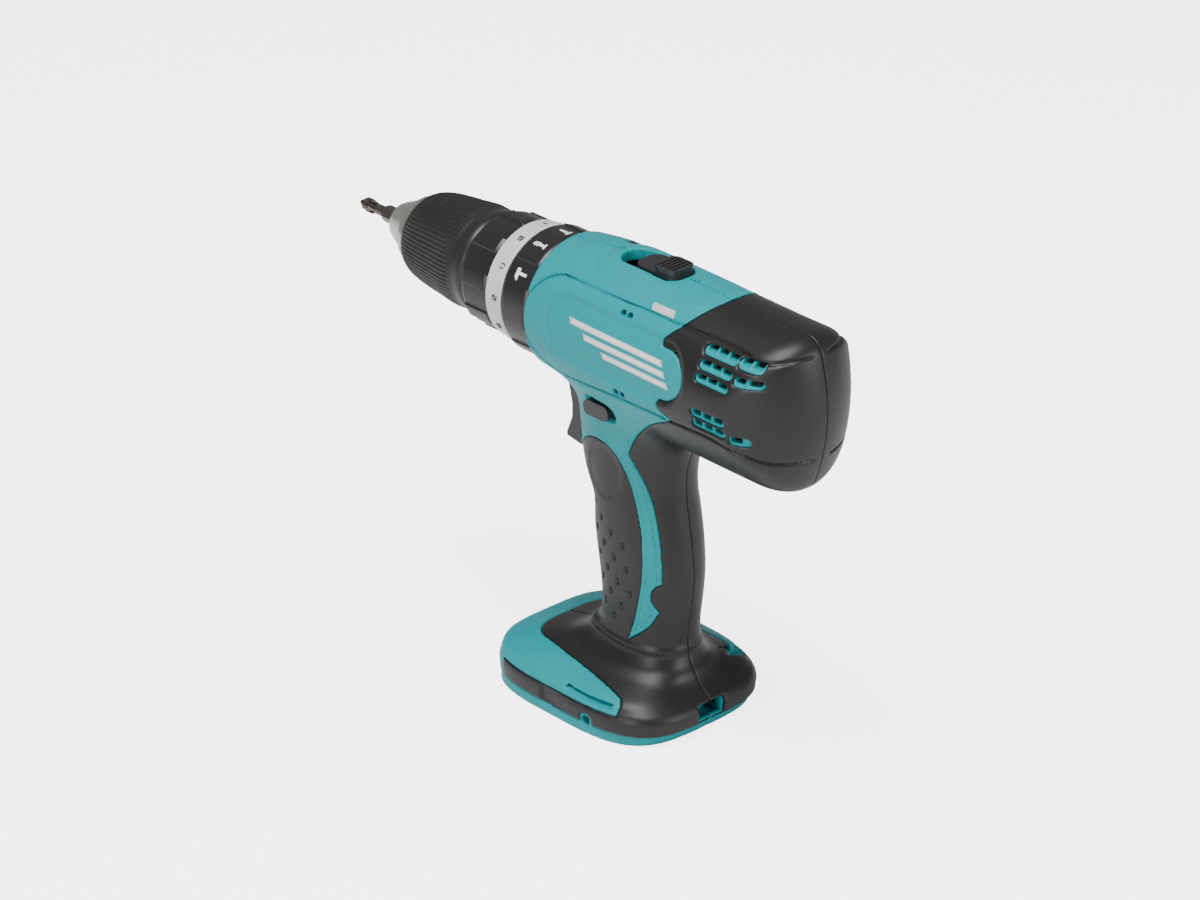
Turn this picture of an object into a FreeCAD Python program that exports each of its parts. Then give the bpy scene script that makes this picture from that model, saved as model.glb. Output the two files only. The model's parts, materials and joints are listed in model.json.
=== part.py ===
import FreeCAD, Part
import math
import os

V = FreeCAD.Vector
os.makedirs("parts", exist_ok=True)

# Cordless hammer drill driver, bare tool. Millimetres.
# +X forward along the spindle, +Y the user's left, +Z up.
# Origin: centre of the underside of the foot, where the battery rails are.

# ------------------------------------------------------------ driving sizes
spindle_height = 162.5        # spindle line above the underside of the foot
skin = 2.0                    # soft grip skin, outside the hard shell
shell_wall = 2.2              # hard shell under the skin
run_gap = 0.05                # radial running clearance of a turning fit
slide_gap = 0.4               # clearance each side of a sliding piece
seat_gap = 0.02               # clearance of a pressed seat

front_x = 27.0                # front edge of the housing
front_radius = 28.0           # round front end of the barrel
motor_length = 52.0           # motor can
motor_radius = 22.5
motor_front_x = -43.5         # front face of the motor can
rear_room = 17.1              # motor can to the rear end of the housing
neck_height = 28.5            # underside of the barrel below the spindle line

foot_half_width = 39.5
foot_front = 47.2             # middle of the foot's front edge
foot_rear = 51.0              # middle of the skirt's rear edge
rim_rear = 47.5               # middle of the rim's rear edge
rim_top = 5.0                 # hard rim under the soft skirt
skirt_top = 12.8
foot_top = 24.0               # where the foot meets the handle
bay_half_width = 31.0
bay_top = 13.0
rail_depth = 4.5              # battery rail, standing in from the bay wall
rail_low, rail_high = 2.5, 6.0

gear_module = 0.8
sun_1_teeth, planet_1_teeth = 12, 18
sun_2_teeth, planet_2_teeth = 18, 15
ring_teeth = 48
planets = 3
backlash = 0.15
ring_wall = 1.4

spindle_radius = 6.0
spindle_thread_radius = 6.4
bearing_wall = 6.0
bit_flat = 6.35               # across flats of the hexagon shank
bit_length = 50.0
bit_tip_x = 157.7

mode_ring_length = 16.4
mode_ring_radius = 26.9
scale_length = 9.8
torque_ring_length = 17.2
torque_ring_radius = 24.6
nose_radius = 15.5            # gear case nose inside the clutch ring
sleeve_radius = 21.6
sleeve_length = 43.0
jaw_radius = 3.05
jaw_slope = math.radians(15.0)
jaw_length = 29.0

trigger_width = 15.0
trigger_travel = 7.5
lever_length, lever_height = 14.0, 6.4
lever_travel = 6.0
selector_length, selector_width = 23.0, 13.5
selector_travel = 9.0
screw_radius = 1.7
screw_head_radius = 3.4
hook_screw_radius = 2.0
hook_x, hook_z = -19.1, 6.4
strap_half_width = 7.0

# ------------------------------------------------------------ derived places
motor_rear_x = motor_front_x - motor_length
rear_x = motor_rear_x - rear_room
ring_pitch = gear_module * ring_teeth / 2
ring_outer = ring_pitch + gear_module + ring_wall
case_inner = ring_outer + seat_gap
case_outer = case_inner + 1.6
centre_1 = gear_module * (sun_1_teeth + planet_1_teeth) / 2
centre_2 = gear_module * (sun_2_teeth + planet_2_teeth) / 2
mode_end = front_x + mode_ring_length
scale_end = mode_end + scale_length
torque_end = scale_end + torque_ring_length
sleeve_start = torque_end + 0.5
sleeve_end = sleeve_start + sleeve_length
wall = skin + shell_wall


# ------------------------------------------------------------ helpers
def save(shape, name):
    """Write one piece as its own file."""
    if not shape.isValid() or not shape.Solids:
        raise ValueError("bad solid: " + name)
    solid = shape.Solids[0] if len(shape.Solids) == 1 else Part.makeCompound(shape.Solids)
    solid.exportStep("parts/" + name + ".step")
    print(name, len(shape.Solids), round(shape.Volume, 1))


def box(x0, x1, y0, y1, z0, z1):
    return Part.makeBox(x1 - x0, y1 - y0, z1 - z0, V(x0, y0, z0))


def rounded_box(x0, x1, y0, y1, z0, z1, radius, along):
    """Box with its edges along one axis rounded."""
    plain = box(x0, x1, y0, y1, z0, z1)
    edges = [e for e in plain.Edges if abs(abs(e.tangentAt(e.FirstParameter).dot(along)) - 1) < 1e-6]
    return plain.makeFillet(radius, edges)


def rod(x0, x1, radius, y=0.0, z=spindle_height):
    return Part.makeCylinder(radius, x1 - x0, V(x0, y, z), V(1, 0, 0))


def tube(x0, x1, outer, inner, y=0.0, z=spindle_height):
    return rod(x0, x1, outer, y, z).cut(rod(x0 - 1, x1 + 1, inner, y, z))


def turned(points):
    """Solid of revolution about the spindle line, from (x, radius) points."""
    corners = [V(x, 0, spindle_height + r) for x, r in points]
    face = Part.Face(Part.makePolygon(corners + corners[:1]))
    return face.revolve(V(0, 0, spindle_height), V(1, 0, 0), 360)


def on_circle(shape, count, phase=0.0):
    """Copies of a shape round the spindle line, the first turned by phase degrees."""
    copies = []
    for i in range(count):
        copy = shape.copy()
        copy.rotate(V(0, 0, spindle_height), V(1, 0, 0), phase + i * 360.0 / count)
        copies.append(copy)
    return copies


def hexagon(x0, x1, flat):
    """Hexagonal bar on the spindle line, with a flat at the top."""
    r = flat / 2 / math.cos(math.pi / 6)
    angles = [i * math.pi / 3 for i in range(7)]
    corners = [V(x0, r * math.cos(a), spindle_height + r * math.sin(a)) for a in angles]
    return Part.Face(Part.makePolygon(corners)).extrude(V(x1 - x0, 0, 0))


# ------------------------------------------------------------ outer form
def oval(place, half_width, low, high, power):
    """Closed smooth outline: half_width across, low and high the other way."""
    points = []
    steps = 32
    for i in range(steps):
        a = 2 * math.pi * i / steps
        c, s = math.cos(a), math.sin(a)
        across = half_width * math.copysign(abs(c) ** (2.0 / power), c)
        reach = (high if s > 0 else low) * abs(s) ** (2.0 / power)
        points.append(place(across, math.copysign(reach, s)))
    curve = Part.BSplineCurve()
    curve.interpolate(Points=points, PeriodicFlag=True)
    return Part.Wire(curve.toShape())


def barrel(inset):
    """Motor barrel: (x, height over and under the spindle line, half width)."""
    stations = [
        (front_x, front_radius, front_radius, front_radius), (14.0, 29.8, 29.5, 29.3), (-10.0, 30.4, 32.0, 30.5),
        (-35.0, 30.2, 35.0, 31.0), (-60.0, 29.6, 36.5, 31.5), (rear_x + 32.6, 29.2, 36.8, 31.5),
        (rear_x + 20.0, 29.0, 36.5, 29.1), (rear_x + 13.0, 28.4, 36.0, 25.2),
        (rear_x + 7.0, 26.6, 32.0, 19.5), (rear_x + 2.5, 20.5, 17.0, 12.1),
        (rear_x, 8.0, 7.0, 6.0)]
    wires = []
    for x, high, low, half in stations:
        at = x if x > rear_x + 20 else x + inset * (rear_x + 20 - x) / 20
        if inset and x == front_x:
            at = x + 2.0
        wires.append(oval(lambda y, z, at=at: V(at, y, spindle_height + z),
                          half - inset, low - inset, high - inset, 2.05))
    return Part.makeLoft(wires, True, False)


def handle(inset):
    """Grip: (share of the height from foot to barrel, rear x, front x, half width)."""
    stations = [
        (0.0, -38.5, 13.0, 20.0), (0.09, -36.7, 7.6, 16.6), (0.2, -38.0, 5.6, 16.2),
        (0.37, -40.4, 8.0, 16.4), (0.5, -39.6, 9.8, 16.6), (0.62, -37.4, 10.6, 16.5),
        (0.705, -36.2, 15.4, 16.5), (0.78, -36.6, 16.0, 17.0), (0.9, -41.0, 17.0, 18.4),
        (1.0, -50.0, 20.0, 20.5)]
    top = spindle_height - neck_height
    foot_low = foot_top - 6.0
    wires = []
    for share, rear, front, half in stations:
        z = foot_low + share * (top - foot_low)
        middle = (rear + front) / 2
        reach = (front - rear) / 2 - inset
        wires.append(oval(lambda y, x, z=z, m=middle: V(m + x, y, z),
                          half - inset, reach, reach, 2.3))
    return Part.makeLoft(wires, True, False)


def foot_outline(z, rear, front, half):
    return oval(lambda y, x: V(x, y, z), half, rear, front, 3.6)


def foot(inset):
    """Flared foot: hard rim, skirt and the slope up to the handle."""
    half = foot_half_width
    edge = skirt_top - inset
    rim = Part.Face(foot_outline(0, rim_rear - inset, foot_front - inset, half - 0.5 - inset))
    skirt = Part.Face(foot_outline(rim_top, foot_rear - inset, foot_front - inset, half - inset))
    slope = [
        (skirt_top, foot_rear, foot_front, half), (17.0, 45.5, 46.3, half - 2.5),
        (20.2, 40.0, 35.0, half - 11.0), (foot_top, 36.0, 20.0, half - 20.0)]
    wires = [foot_outline(z - inset, rear - inset, front - inset, w - inset)
             for z, rear, front, w in slope]
    return rim.extrude(V(0, 0, rim_top)).fuse([
        skirt.extrude(V(0, 0, edge - rim_top)), Part.makeLoft(wires, True, False)])


def prism(points, y0, y1):
    """Side outline carried through from y0 to y1."""
    corners = [V(x, y0, z) for x, z in points]
    return Part.Face(Part.makePolygon(corners + corners[:1])).extrude(V(0, y1 - y0, 0))


def smooth_prism(runs, reach):
    """Side region bounded by smooth curves, each through its own points."""
    edges = []
    for run in runs:
        points = [V(x, -reach, z) for x, z in run]
        if len(points) == 2:
            edges.append(Part.LineSegment(points[0], points[1]).toShape())
        else:
            curve = Part.BSplineCurve()
            curve.interpolate(points)
            edges.append(curve.toShape())
    return Part.Face(Part.Wire(edges)).extrude(V(0, 2 * reach, 0))


outer = barrel(0).fuse([handle(0), foot(0)])
under_skin = [barrel(skin), handle(skin), foot(skin)]

# ------------------------------------------------------------ soft regions
up = spindle_height
stripe_tip = (-19.6, 34.4)
notch_top, notch_bottom = (-34.4, 62.5), (-33.2, 51.0)
lobe_low, lobe_high = (-51.0, up - 6.0), (-49.6, up + 14.5)
seam_tip = (-58.2, up - 13.1)
saddle = (-20.8, up - 44.9)
edge_low, edge_top = (-61.6, up + 29.4), (-61.6, up + 45.0)
rear_limit = rear_x - 20.0
rear_region = smooth_prism([
    [edge_top, edge_low], [edge_low, (-58.1, up + 26.4), (-54.2, up + 22.4), (-49.4, up + 17.3), lobe_high],
    [lobe_high, (-56.8, up + 12.2), (-62.4, up + 9.0), (-64.2, up + 5.0), (-63.0, up + 0.4),
     (-58.6, up - 4.0), lobe_low],
    [lobe_low, (-49.6, up - 9.6), (-52.4, up - 11.2), seam_tip],
    [seam_tip, (-47.6, up - 16.4), (-38.2, up - 22.6), (-30.6, up - 32.2), saddle],
    [saddle, (-26.2, 106.8), (-30.8, 92.9), (-33.9, 77.4), notch_top],
    [notch_top, (-29.6, 57.0), notch_bottom],
    [notch_bottom, (-28.4, 42.2), stripe_tip],
    [stripe_tip, (-19.6, 30.0)], [(-19.6, 30.0), (rear_limit, 30.0)],
    [(rear_limit, 30.0), (rear_limit, up + 45.0)], [(rear_limit, up + 45.0), edge_top]], 60)
grip_region = smooth_prism([
    [stripe_tip, (-23.8, 49.0), (-26.7, 65.8), (-26.1, 83.4), (-22.1, 99.4), (-14.5, up - 46.5),
     (-4.5, up - 43.4), (4.5, up - 46.5), (17.0, up - 58.5)],
    [(17.0, up - 58.5), (40.0, up - 76.0)], [(40.0, up - 76.0), (40.0, 30.0)],
    [(40.0, 30.0), (-19.6, 30.0)], [(-19.6, 30.0), stripe_tip]], 60)
boot_plan = [(33.2, 0), (33.0, 8), (28.4, 19.7), (12.0, 24), (-9.3, 27.4), (-27.8, 30), (-36, 32.5),
             (-37.5, 50), (-60, 50), (-60, -50), (-37.5, -50), (-36, -32.5), (-27.8, -30),
             (-9.3, -27.4), (12.0, -24), (28.4, -19.7), (33.0, -8)]
boot_face = Part.Face(Part.makePolygon([V(x, y, skirt_top) for x, y in boot_plan + boot_plan[:1]]))
boot_region = boot_face.extrude(V(0, 0, 30.0 - skirt_top))
skirt_region = box(-60, 33, -50, 50, rim_top, skirt_top)
soft_region = rear_region.fuse([grip_region, boot_region, skirt_region])

# ------------------------------------------------------------ openings cut through the shells
trigger_top = spindle_height - 32.5
trigger_bottom = spindle_height - 57.5
trigger_slot = box(-6, 45, -trigger_width / 2 - slide_gap, trigger_width / 2 + slide_gap,
                   trigger_bottom - slide_gap, trigger_top + slide_gap)
lever_x = -9.0
lever_z = spindle_height - 28.2
lever_slot = rounded_box(lever_x - lever_length / 2 - slide_gap, lever_x + lever_length / 2 + slide_gap,
                         -50, 50, lever_z - lever_height / 2 - slide_gap,
                         lever_z + lever_height / 2 + slide_gap, 3.0, V(0, 1, 0))
selector_rear = -36.0
selector_slot = rounded_box(selector_rear - slide_gap,
                            selector_rear + selector_length + selector_travel + slide_gap,
                            -selector_width / 2 - slide_gap, selector_width / 2 + slide_gap,
                            spindle_height + 24, spindle_height + 45, 5.0, V(0, 0, 1))
strap_slot = box(-60, -46.5, -strap_half_width, strap_half_width, rim_top + 0.5, skirt_top - 0.4).fuse(
    box(-46.6, -41.5, -strap_half_width, strap_half_width, -1, skirt_top - 0.4))
bay = box(-38, 60, -bay_half_width, bay_half_width, -1, bay_top)
rails = [box(-30, 34, side * bay_half_width - (rail_depth if side > 0 else 0.5),
             side * bay_half_width + (0.5 if side > 0 else rail_depth), rail_low, rail_high)
         for side in (1, -1)]


def vent_row(x, z, cells, pitch=5.2, cell=4.0, tall=2.3):
    """Row of cells along the barrel; the front end is at x."""
    return [box(x - i * pitch - cell, x - i * pitch, -50, 50, z - tall / 2, z + tall / 2)
            for i in range(cells)]


vents = []
for z_over, x_front, cells in ((20.1, -70.9, 3), (15.2, -71.5, 3), (10.6, -71.7, 3),
                               (20.0, -88.6, 2), (14.2, -90.3, 2), (-3.4, -71.2, 3), (-7.8, -71.6, 3),
                               (-9.8, -89.8, 1)):
    vents += vent_row(x_front, spindle_height + z_over, cells)
for x_front, z_over in ((-24.0, 19.2), (-25.2, -11.5)):
    vents += vent_row(x_front, spindle_height + z_over, 2, 4.2, 3.0, 2.2)

# housing screws run across; heads are on the right-hand side: (x, z, depth of the head, reach)
screw_places = [
    (5.0, spindle_height + 25.6, 10.5, 9.0), (-64.0, spindle_height - 29.5, 13.0, 11.0),
    (-96.0, spindle_height - 26.6, 9.5, 8.5), (-31.5, spindle_height - 45.5, 10.0, 8.5),
    (-16.0, 84.0, 11.5, 10.0), (-14.0, 44.0, 11.5, 10.0), (30.0, 16.3, 24.0, 12.0), (-33.0, 17.2, 24.0, 12.0)]
head_length = 2.4
boss_radius = 3.6


def across(x, z, y0, y1, radius):
    return Part.makeCylinder(radius, y1 - y0, V(x, y0, z), V(0, 1, 0))


def screw(x, z, depth, reach):
    return across(x, z, -depth, -depth + head_length, screw_head_radius).fuse(
        across(x, z, -depth + head_length - 0.1, reach, screw_radius)).cut(
        box(x - 2.2, x + 2.2, -depth - 1, -depth + 1.2, z - 0.4, z + 0.4)).cut(
        box(x - 0.4, x + 0.4, -depth - 1, -depth + 1.2, z - 2.2, z + 2.2))


# ------------------------------------------------------------ hard shell and soft skin
cavities = [barrel(wall), handle(wall), box(-30, 4, -11, 11, bay_top - 1, foot_top + 2)]
soft = outer.common(soft_region).cut(under_skin)
hard = outer.cut(cavities).cut(soft)
bosses = [across(x, z, -depth + head_length + seat_gap, reach + 3, boss_radius)
          for x, z, depth, reach in screw_places]
hard = hard.fuse([b.common(outer).cut(soft) for b in bosses])
hard = hard.cut([bay]).fuse(rails)
lamp_radius = 2.4
lamp_z = trigger_top + slide_gap + 3.0
cuts = [trigger_slot, lever_slot, selector_slot, strap_slot, rod(11, 30, lamp_radius + seat_gap, 0, lamp_z)] + vents
for x, z, depth, reach in screw_places:
    cuts.append(across(x, z, -60, -depth + head_length + seat_gap, screw_head_radius + 0.3))
    cuts.append(across(x, z, -60, reach + seat_gap, screw_radius + seat_gap))
insert_radius = hook_screw_radius + 1.4
insert_in = bay_half_width + 0.5
insert_out = foot_half_width - 3.0
for side in (1, -1):
    y0, y1 = sorted((side * insert_in, side * (insert_out + seat_gap)))
    cuts.append(across(hook_x, hook_z, y0, y1, insert_radius + seat_gap))
    y0, y1 = sorted((side * insert_in, side * 60))
    cuts.append(across(hook_x, hook_z, y0, y1, hook_screw_radius + 0.3))
hard = hard.cut(Part.makeCompound(cuts))
ring_cuts = []
for side in (1, -1):
    y0, y1 = sorted((side * insert_in, side * 60))
    ring_cuts.append(across(hook_x, hook_z, y0, y1, 3.2))
soft = soft.cut(Part.makeCompound(cuts + ring_cuts))
left_half = box(-200, 200, 0, 100, -10, 260)
right_half = box(-200, 200, -100, 0, -10, 260)


def biggest(shape, share=0.02):
    """Drop stray crumbs left by the cuts."""
    solids = sorted(shape.Solids, key=lambda s: -s.Volume)
    return Part.makeCompound([s for s in solids if s.Volume > share * solids[0].Volume])


save(biggest(hard.common(left_half), 0.5), "housing_left")
save(biggest(hard.common(right_half), 0.5), "housing_right")
save(biggest(soft.common(left_half)), "grip_skin_left")
save(biggest(soft.common(right_half)), "grip_skin_right")
save(Part.makeCompound([screw(*place) for place in screw_places]), "housing_screws")
inserts = []
for side in (1, -1):
    y0, y1 = sorted((side * insert_in, side * insert_out))
    inserts.append(across(hook_x, hook_z, y0, y1, insert_radius).cut(
        across(hook_x, hook_z, -60, 60, hook_screw_radius)))
save(Part.makeCompound(inserts), "hook_inserts")

# ------------------------------------------------------------ gear case and its bearings
case_rear = -40.5
cup_front = -6.5
bearing_radius = spindle_radius + bearing_wall
bore_radius = bearing_radius + seat_gap
pin_circle = 17.8
pin_radius = 1.5
boss_outer = 20.0
flange_gap = 2.6
flange_outer = front_radius - wall - flange_gap
ring_seat = mode_ring_radius - 4.9
nose_end = torque_end - 1.0
gear_case = turned([
    (case_rear, case_inner), (case_rear, case_outer), (cup_front + 4, case_outer), (cup_front + 8, boss_outer),
    (front_x - 4, boss_outer), (front_x - 4, flange_outer), (front_x - 0.2, flange_outer),
    (front_x - 0.2, ring_seat), (mode_end, ring_seat), (mode_end, nose_radius), (nose_end, nose_radius),
    (nose_end, bore_radius), (cup_front + 3, bore_radius), (cup_front + 3, 9.0), (cup_front, 9.0),
    (cup_front, case_inner)])
pin_hole = rod(cup_front - 1, mode_end + 1, pin_radius + slide_gap / 2, 0, spindle_height + pin_circle)
gear_case = gear_case.cut(Part.makeCompound(on_circle(pin_hole, 6, 30)))
save(gear_case, "gear_case")
mount_plate = tube(motor_front_x, case_rear, case_outer, 6.2)
plate_screw_circle = 9.5
plate_holes = on_circle(rod(motor_front_x - 5, case_rear + 5, screw_radius + seat_gap, 0,
                            spindle_height + plate_screw_circle), 2, 90)
save(mount_plate.cut(plate_holes), "motor_plate")

bearing_length = 6.0
rear_bearing_x = cup_front + 3.2
front_bearing_x = nose_end - bearing_length - 1.0


def bearing(x, inner, outer, length, balls=9):
    """Ball bearing as one piece: two rings joined through a row of balls."""
    middle = (inner + outer) / 2
    share = (outer - inner) / 6
    pieces = [tube(x, x + length, outer, outer - 1.6 * share), tube(x, x + length, inner + 1.6 * share, inner)]
    ball = Part.makeSphere(1.6 * share, V(x + length / 2, 0, spindle_height + middle))
    return pieces[0].fuse(pieces[1:] + on_circle(ball, balls))


save(Part.makeCompound([bearing(rear_bearing_x, spindle_radius + run_gap, bearing_radius, bearing_length),
                        bearing(front_bearing_x, spindle_thread_radius + run_gap, bearing_radius,
                                bearing_length)]), "spindle_bearings")

# ------------------------------------------------------------ gears
pressure = math.radians(25.0)


def involute(radius, base):
    a = math.acos(min(1.0, base / radius))
    return math.tan(a) - a


def gear_outline(teeth, tip, root, thickness, phase):
    """Corner points of a toothed outline; a tooth is centred at the phase angle."""
    pitch = gear_module * teeth / 2
    base = pitch * math.cos(pressure)
    start = max(root, base + 0.01)
    half = thickness / (2 * pitch) + involute(pitch, base)
    radii = [start + (tip - start) * i / 3 for i in range(4)]
    points = []
    for k in range(teeth):
        middle = phase + 2 * math.pi * k / teeth
        flank = [(r, half - involute(r, base)) for r in radii]
        side = [(root, flank[0][1])] if root < start - 1e-6 else []
        for r, a in side + flank:
            points.append((r, middle - a))
        for r, a in reversed(side + flank):
            points.append((r, middle + a))
    return points


def toothed(x0, x1, points):
    corners = [V(x0, -r * math.sin(a), spindle_height + r * math.cos(a)) for r, a in points]
    return Part.Face(Part.makePolygon(corners + corners[:1])).extrude(V(x1 - x0, 0, 0))


def gear(x0, x1, teeth, bore, phase=0.0):
    """Stub-tooth spur gear on the spindle line."""
    pitch = gear_module * teeth / 2
    thick = math.pi * gear_module / 2 - backlash / 2
    blank = toothed(x0, x1, gear_outline(teeth, pitch + 0.8 * gear_module, pitch - gear_module, thick, phase))
    return blank.cut(rod(x0 - 1, x1 + 1, bore)) if bore else blank


def ring_gear(x0, x1, phase=0.0):
    """Ring gear; a gap between teeth is centred half a tooth from the phase angle."""
    space = math.pi * gear_module / 2 + backlash / 2
    gap_phase = phase + math.pi / ring_teeth
    hole = toothed(x0 - 1, x1 + 1, gear_outline(ring_teeth, ring_pitch + gear_module,
                                                ring_pitch - 0.8 * gear_module, space, gap_phase))
    return rod(x0, x1, ring_outer).cut(hole)


def planet(x0, x1, teeth, centre, pin, angle):
    """Planet gear in mesh with a sun that has a tooth at the top."""
    phase = angle + math.pi - math.pi / teeth
    wheel = gear(x0, x1, teeth, pin + run_gap, phase)
    wheel.translate(V(0, -centre * math.sin(angle), centre * math.cos(angle)))
    return wheel


stage_1 = (-37.0, -29.0)
stage_2 = (-23.5, -13.5)
pin_1, pin_2 = 2.5, 2.2
save(ring_gear(stage_1[0] - 1, stage_1[1] + 0.5), "ring_gear_1")
save(ring_gear(stage_2[0] - 1, stage_2[1] + 1, math.pi / ring_teeth), "ring_gear_2")
save(tube(stage_1[1] + 0.5, stage_2[0] - 1, case_inner - seat_gap, ring_pitch), "ring_spacer")
save(gear(stage_1[0] - 1, stage_1[1] + 0.2, sun_1_teeth, 2.5), "motor_pinion")
for i in range(planets):
    angle = 2 * math.pi * i / planets
    save(planet(stage_1[0], stage_1[1], planet_1_teeth, centre_1, pin_1, angle), "planet_1_%d" % (i + 1))
    save(planet(stage_2[0], stage_2[1], planet_2_teeth, centre_2, pin_2, angle), "planet_2_%d" % (i + 1))
carrier_1 = rod(stage_1[1] + 1, stage_2[0] - 1.5, centre_1 + 4.5)
carrier_1 = carrier_1.fuse(on_circle(rod(stage_1[0], stage_1[1] + 2, pin_1, 0, spindle_height + centre_1), planets))
save(carrier_1, "carrier_1")
save(gear(stage_2[0] - 1.5, stage_2[1] + 0.5, sun_2_teeth, 0), "sun_gear_2")
carrier_2_front = cup_front - 1.5
carrier_2 = rod(stage_2[1] + 1.3, carrier_2_front, pin_circle - pin_radius - 0.5)
carrier_2 = carrier_2.fuse(on_circle(rod(stage_2[0], stage_2[1] + 2, pin_2, 0, spindle_height + centre_2), planets))
save(carrier_2, "carrier_2")

# ------------------------------------------------------------ spindle, hammer cams
cam_x = 33.0
cam_outer = 11.5
spindle_front = sleeve_start + 14.5
screw_hole_radius = 2.5
spindle = turned([
    (carrier_2_front, 0), (carrier_2_front, spindle_radius), (cam_x + 6, spindle_radius),
    (cam_x + 6, spindle_thread_radius), (spindle_front, spindle_thread_radius),
    (spindle_front, screw_hole_radius), (spindle_front - 12, screw_hole_radius), (spindle_front - 12, 0)])
save(spindle, "spindle")


def ratchet(x, direction, inner, count=18):
    """Ring with a face of saw teeth standing in the given direction."""
    ring = tube(min(x, x - 4 * direction), max(x, x - 4 * direction), cam_outer, inner)
    teeth = []
    for k in range(count):
        a = 2 * math.pi * k / count
        mid = (inner + cam_outer) / 2
        tooth = box(x - 0.4 if direction > 0 else x - 0.8, x + 0.8 if direction > 0 else x + 0.4,
                    -0.7, 0.7, spindle_height + inner + 0.6, spindle_height + cam_outer - 0.4)
        tooth.rotate(V(0, 0, spindle_height), V(1, 0, 0), math.degrees(a))
        teeth.append(tooth)
    return ring.fuse(teeth)


save(ratchet(cam_x + 2.0, -1, spindle_radius), "hammer_cam")
save(ratchet(cam_x, 1, spindle_radius + 0.6).fuse(tube(cam_x - 4, cam_x - 2, bore_radius - 2 * seat_gap,
                                                       spindle_radius + 0.6)), "hammer_cam_fixed")

# ------------------------------------------------------------ chuck
grip_radius = bit_flat / 2 + 0.03
jaw_front = sleeve_end + 14.0
jaw_axis_front = grip_radius + 0.8
nose_front = jaw_front + 3.0
body_radius = 16.0
nut_start = sleeve_start + 25.0
nut_length = 6.5
shank_bore = 6.8


def jaw_line(x):
    """Distance of a jaw's axis from the spindle line."""
    return jaw_axis_front + (jaw_front - x) * math.tan(jaw_slope)


def jaw_rod(radius, x_front, x_rear):
    start = V(x_front, 0, spindle_height + jaw_line(x_front))
    end = V(x_rear, 0, spindle_height + jaw_line(x_rear))
    return Part.makeCylinder(radius, end.sub(start).Length, start, end.sub(start))


groove = 13.4
chuck_body = turned([
    (sleeve_start + 0.6, spindle_thread_radius + seat_gap), (sleeve_start + 0.6, sleeve_radius - 3.2),
    (sleeve_start + 3, sleeve_radius - 3.2), (sleeve_start + 3, body_radius), (nut_start - 0.3, body_radius),
    (nut_start - 0.3, groove), (nut_start + nut_length + 0.3, groove),
    (nut_start + nut_length + 0.3, body_radius), (sleeve_end + 1.0, body_radius),
    (sleeve_end + 1.5, body_radius - 1.2), (sleeve_end + 4.0, body_radius - 1.4),
    (sleeve_end + 4.5, body_radius - 2.6), (nose_front - 2.5, 9.0), (nose_front, 7.8),
    (nose_front, shank_bore), (spindle_front + 0.6, shank_bore), (spindle_front + 0.6, 4.9),
    (spindle_front, 4.9), (spindle_front, spindle_thread_radius + seat_gap)])
chuck_body = chuck_body.cut(on_circle(jaw_rod(jaw_radius + run_gap, jaw_front + 6, jaw_front - 46), 3))
save(biggest(chuck_body), "chuck_body")
jaw_trim = hexagon(jaw_front - 60, jaw_front + 30, 2 * grip_radius)
for i, turn in enumerate((0, 120, 240)):
    jaw = jaw_rod(jaw_radius, jaw_front, jaw_front - jaw_length * math.cos(jaw_slope))
    jaw = jaw.cut(jaw_trim).common(box(0, 200, -20, 20, spindle_height + grip_radius, spindle_height + 40))
    jaw = jaw.common(box(0, jaw_front, -20, 20, 0, 260))
    jaw.rotate(V(0, 0, spindle_height), V(1, 0, 0), turn)
    save(jaw, "chuck_jaw_%d" % (i + 1))
nut_outer = sleeve_radius - 3.0
nut_clear = jaw_radius / math.cos(jaw_slope) + 0.35
save(turned([(nut_start, jaw_line(nut_start) + nut_clear), (nut_start, nut_outer),
             (nut_start + nut_length, nut_outer),
             (nut_start + nut_length, jaw_line(nut_start + nut_length) + nut_clear)]), "chuck_nut")
sleeve_inner = nut_outer + seat_gap
sleeve = turned([
    (sleeve_start, sleeve_inner), (sleeve_start, sleeve_radius - 0.6), (sleeve_start + 1, sleeve_radius),
    (sleeve_start + 8.0, sleeve_radius - 0.2), (sleeve_start + 23, sleeve_radius - 0.9),
    (sleeve_start + 33, sleeve_radius - 1.9), (sleeve_start + 39, sleeve_radius - 3.2),
    (sleeve_end - 0.6, sleeve_radius - 4.6), (sleeve_end, sleeve_radius - 5.1),
    (sleeve_end, body_radius + run_gap), (sleeve_end - 5.5, body_radius + run_gap),
    (sleeve_end - 7.5, sleeve_inner)])
save(sleeve, "chuck_sleeve")
chuck_screw = rod(spindle_front - 8, spindle_front + 1.5, 2.4).fuse(
    rod(spindle_front + 1.0, spindle_front + 4.0, 4.5)).cut(
    hexagon(spindle_front + 2.0, spindle_front + 5.0, 4.0))
save(chuck_screw, "chuck_screw")

# cross-tip driver bit
bit_tail = bit_tip_x - bit_length
bit_neck = bit_tip_x - 16.0
bit_rod = hexagon(bit_tail, bit_neck, bit_flat).common(turned([
    (bit_tail, 0), (bit_tail, 3.0), (bit_tail + 0.8, 3.8), (bit_neck - 1.2, 3.8), (bit_neck, 2.9), (bit_neck, 0)]))
blade = turned([(bit_neck - 0.1, 0), (bit_neck - 0.1, 2.3), (bit_tip_x - 9.5, 2.2), (bit_tip_x - 8, 3.0),
                (bit_tip_x - 4.2, 3.0), (bit_tip_x - 0.3, 0.7), (bit_tip_x, 0.4), (bit_tip_x, 0)])
flutes = []
for copy in on_circle(rod(-3.0, 11.0, 1.25, 0, spindle_height + 2.35), 4, 45):
    copy.translate(V(bit_tip_x - 8.0, 0, 0))
    flutes.append(copy)
save(bit_rod.fuse(blade.cut(Part.makeCompound(flutes))), "driver_bit")

# ------------------------------------------------------------ mode ring, torque ring, clutch
land = 0.9


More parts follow.
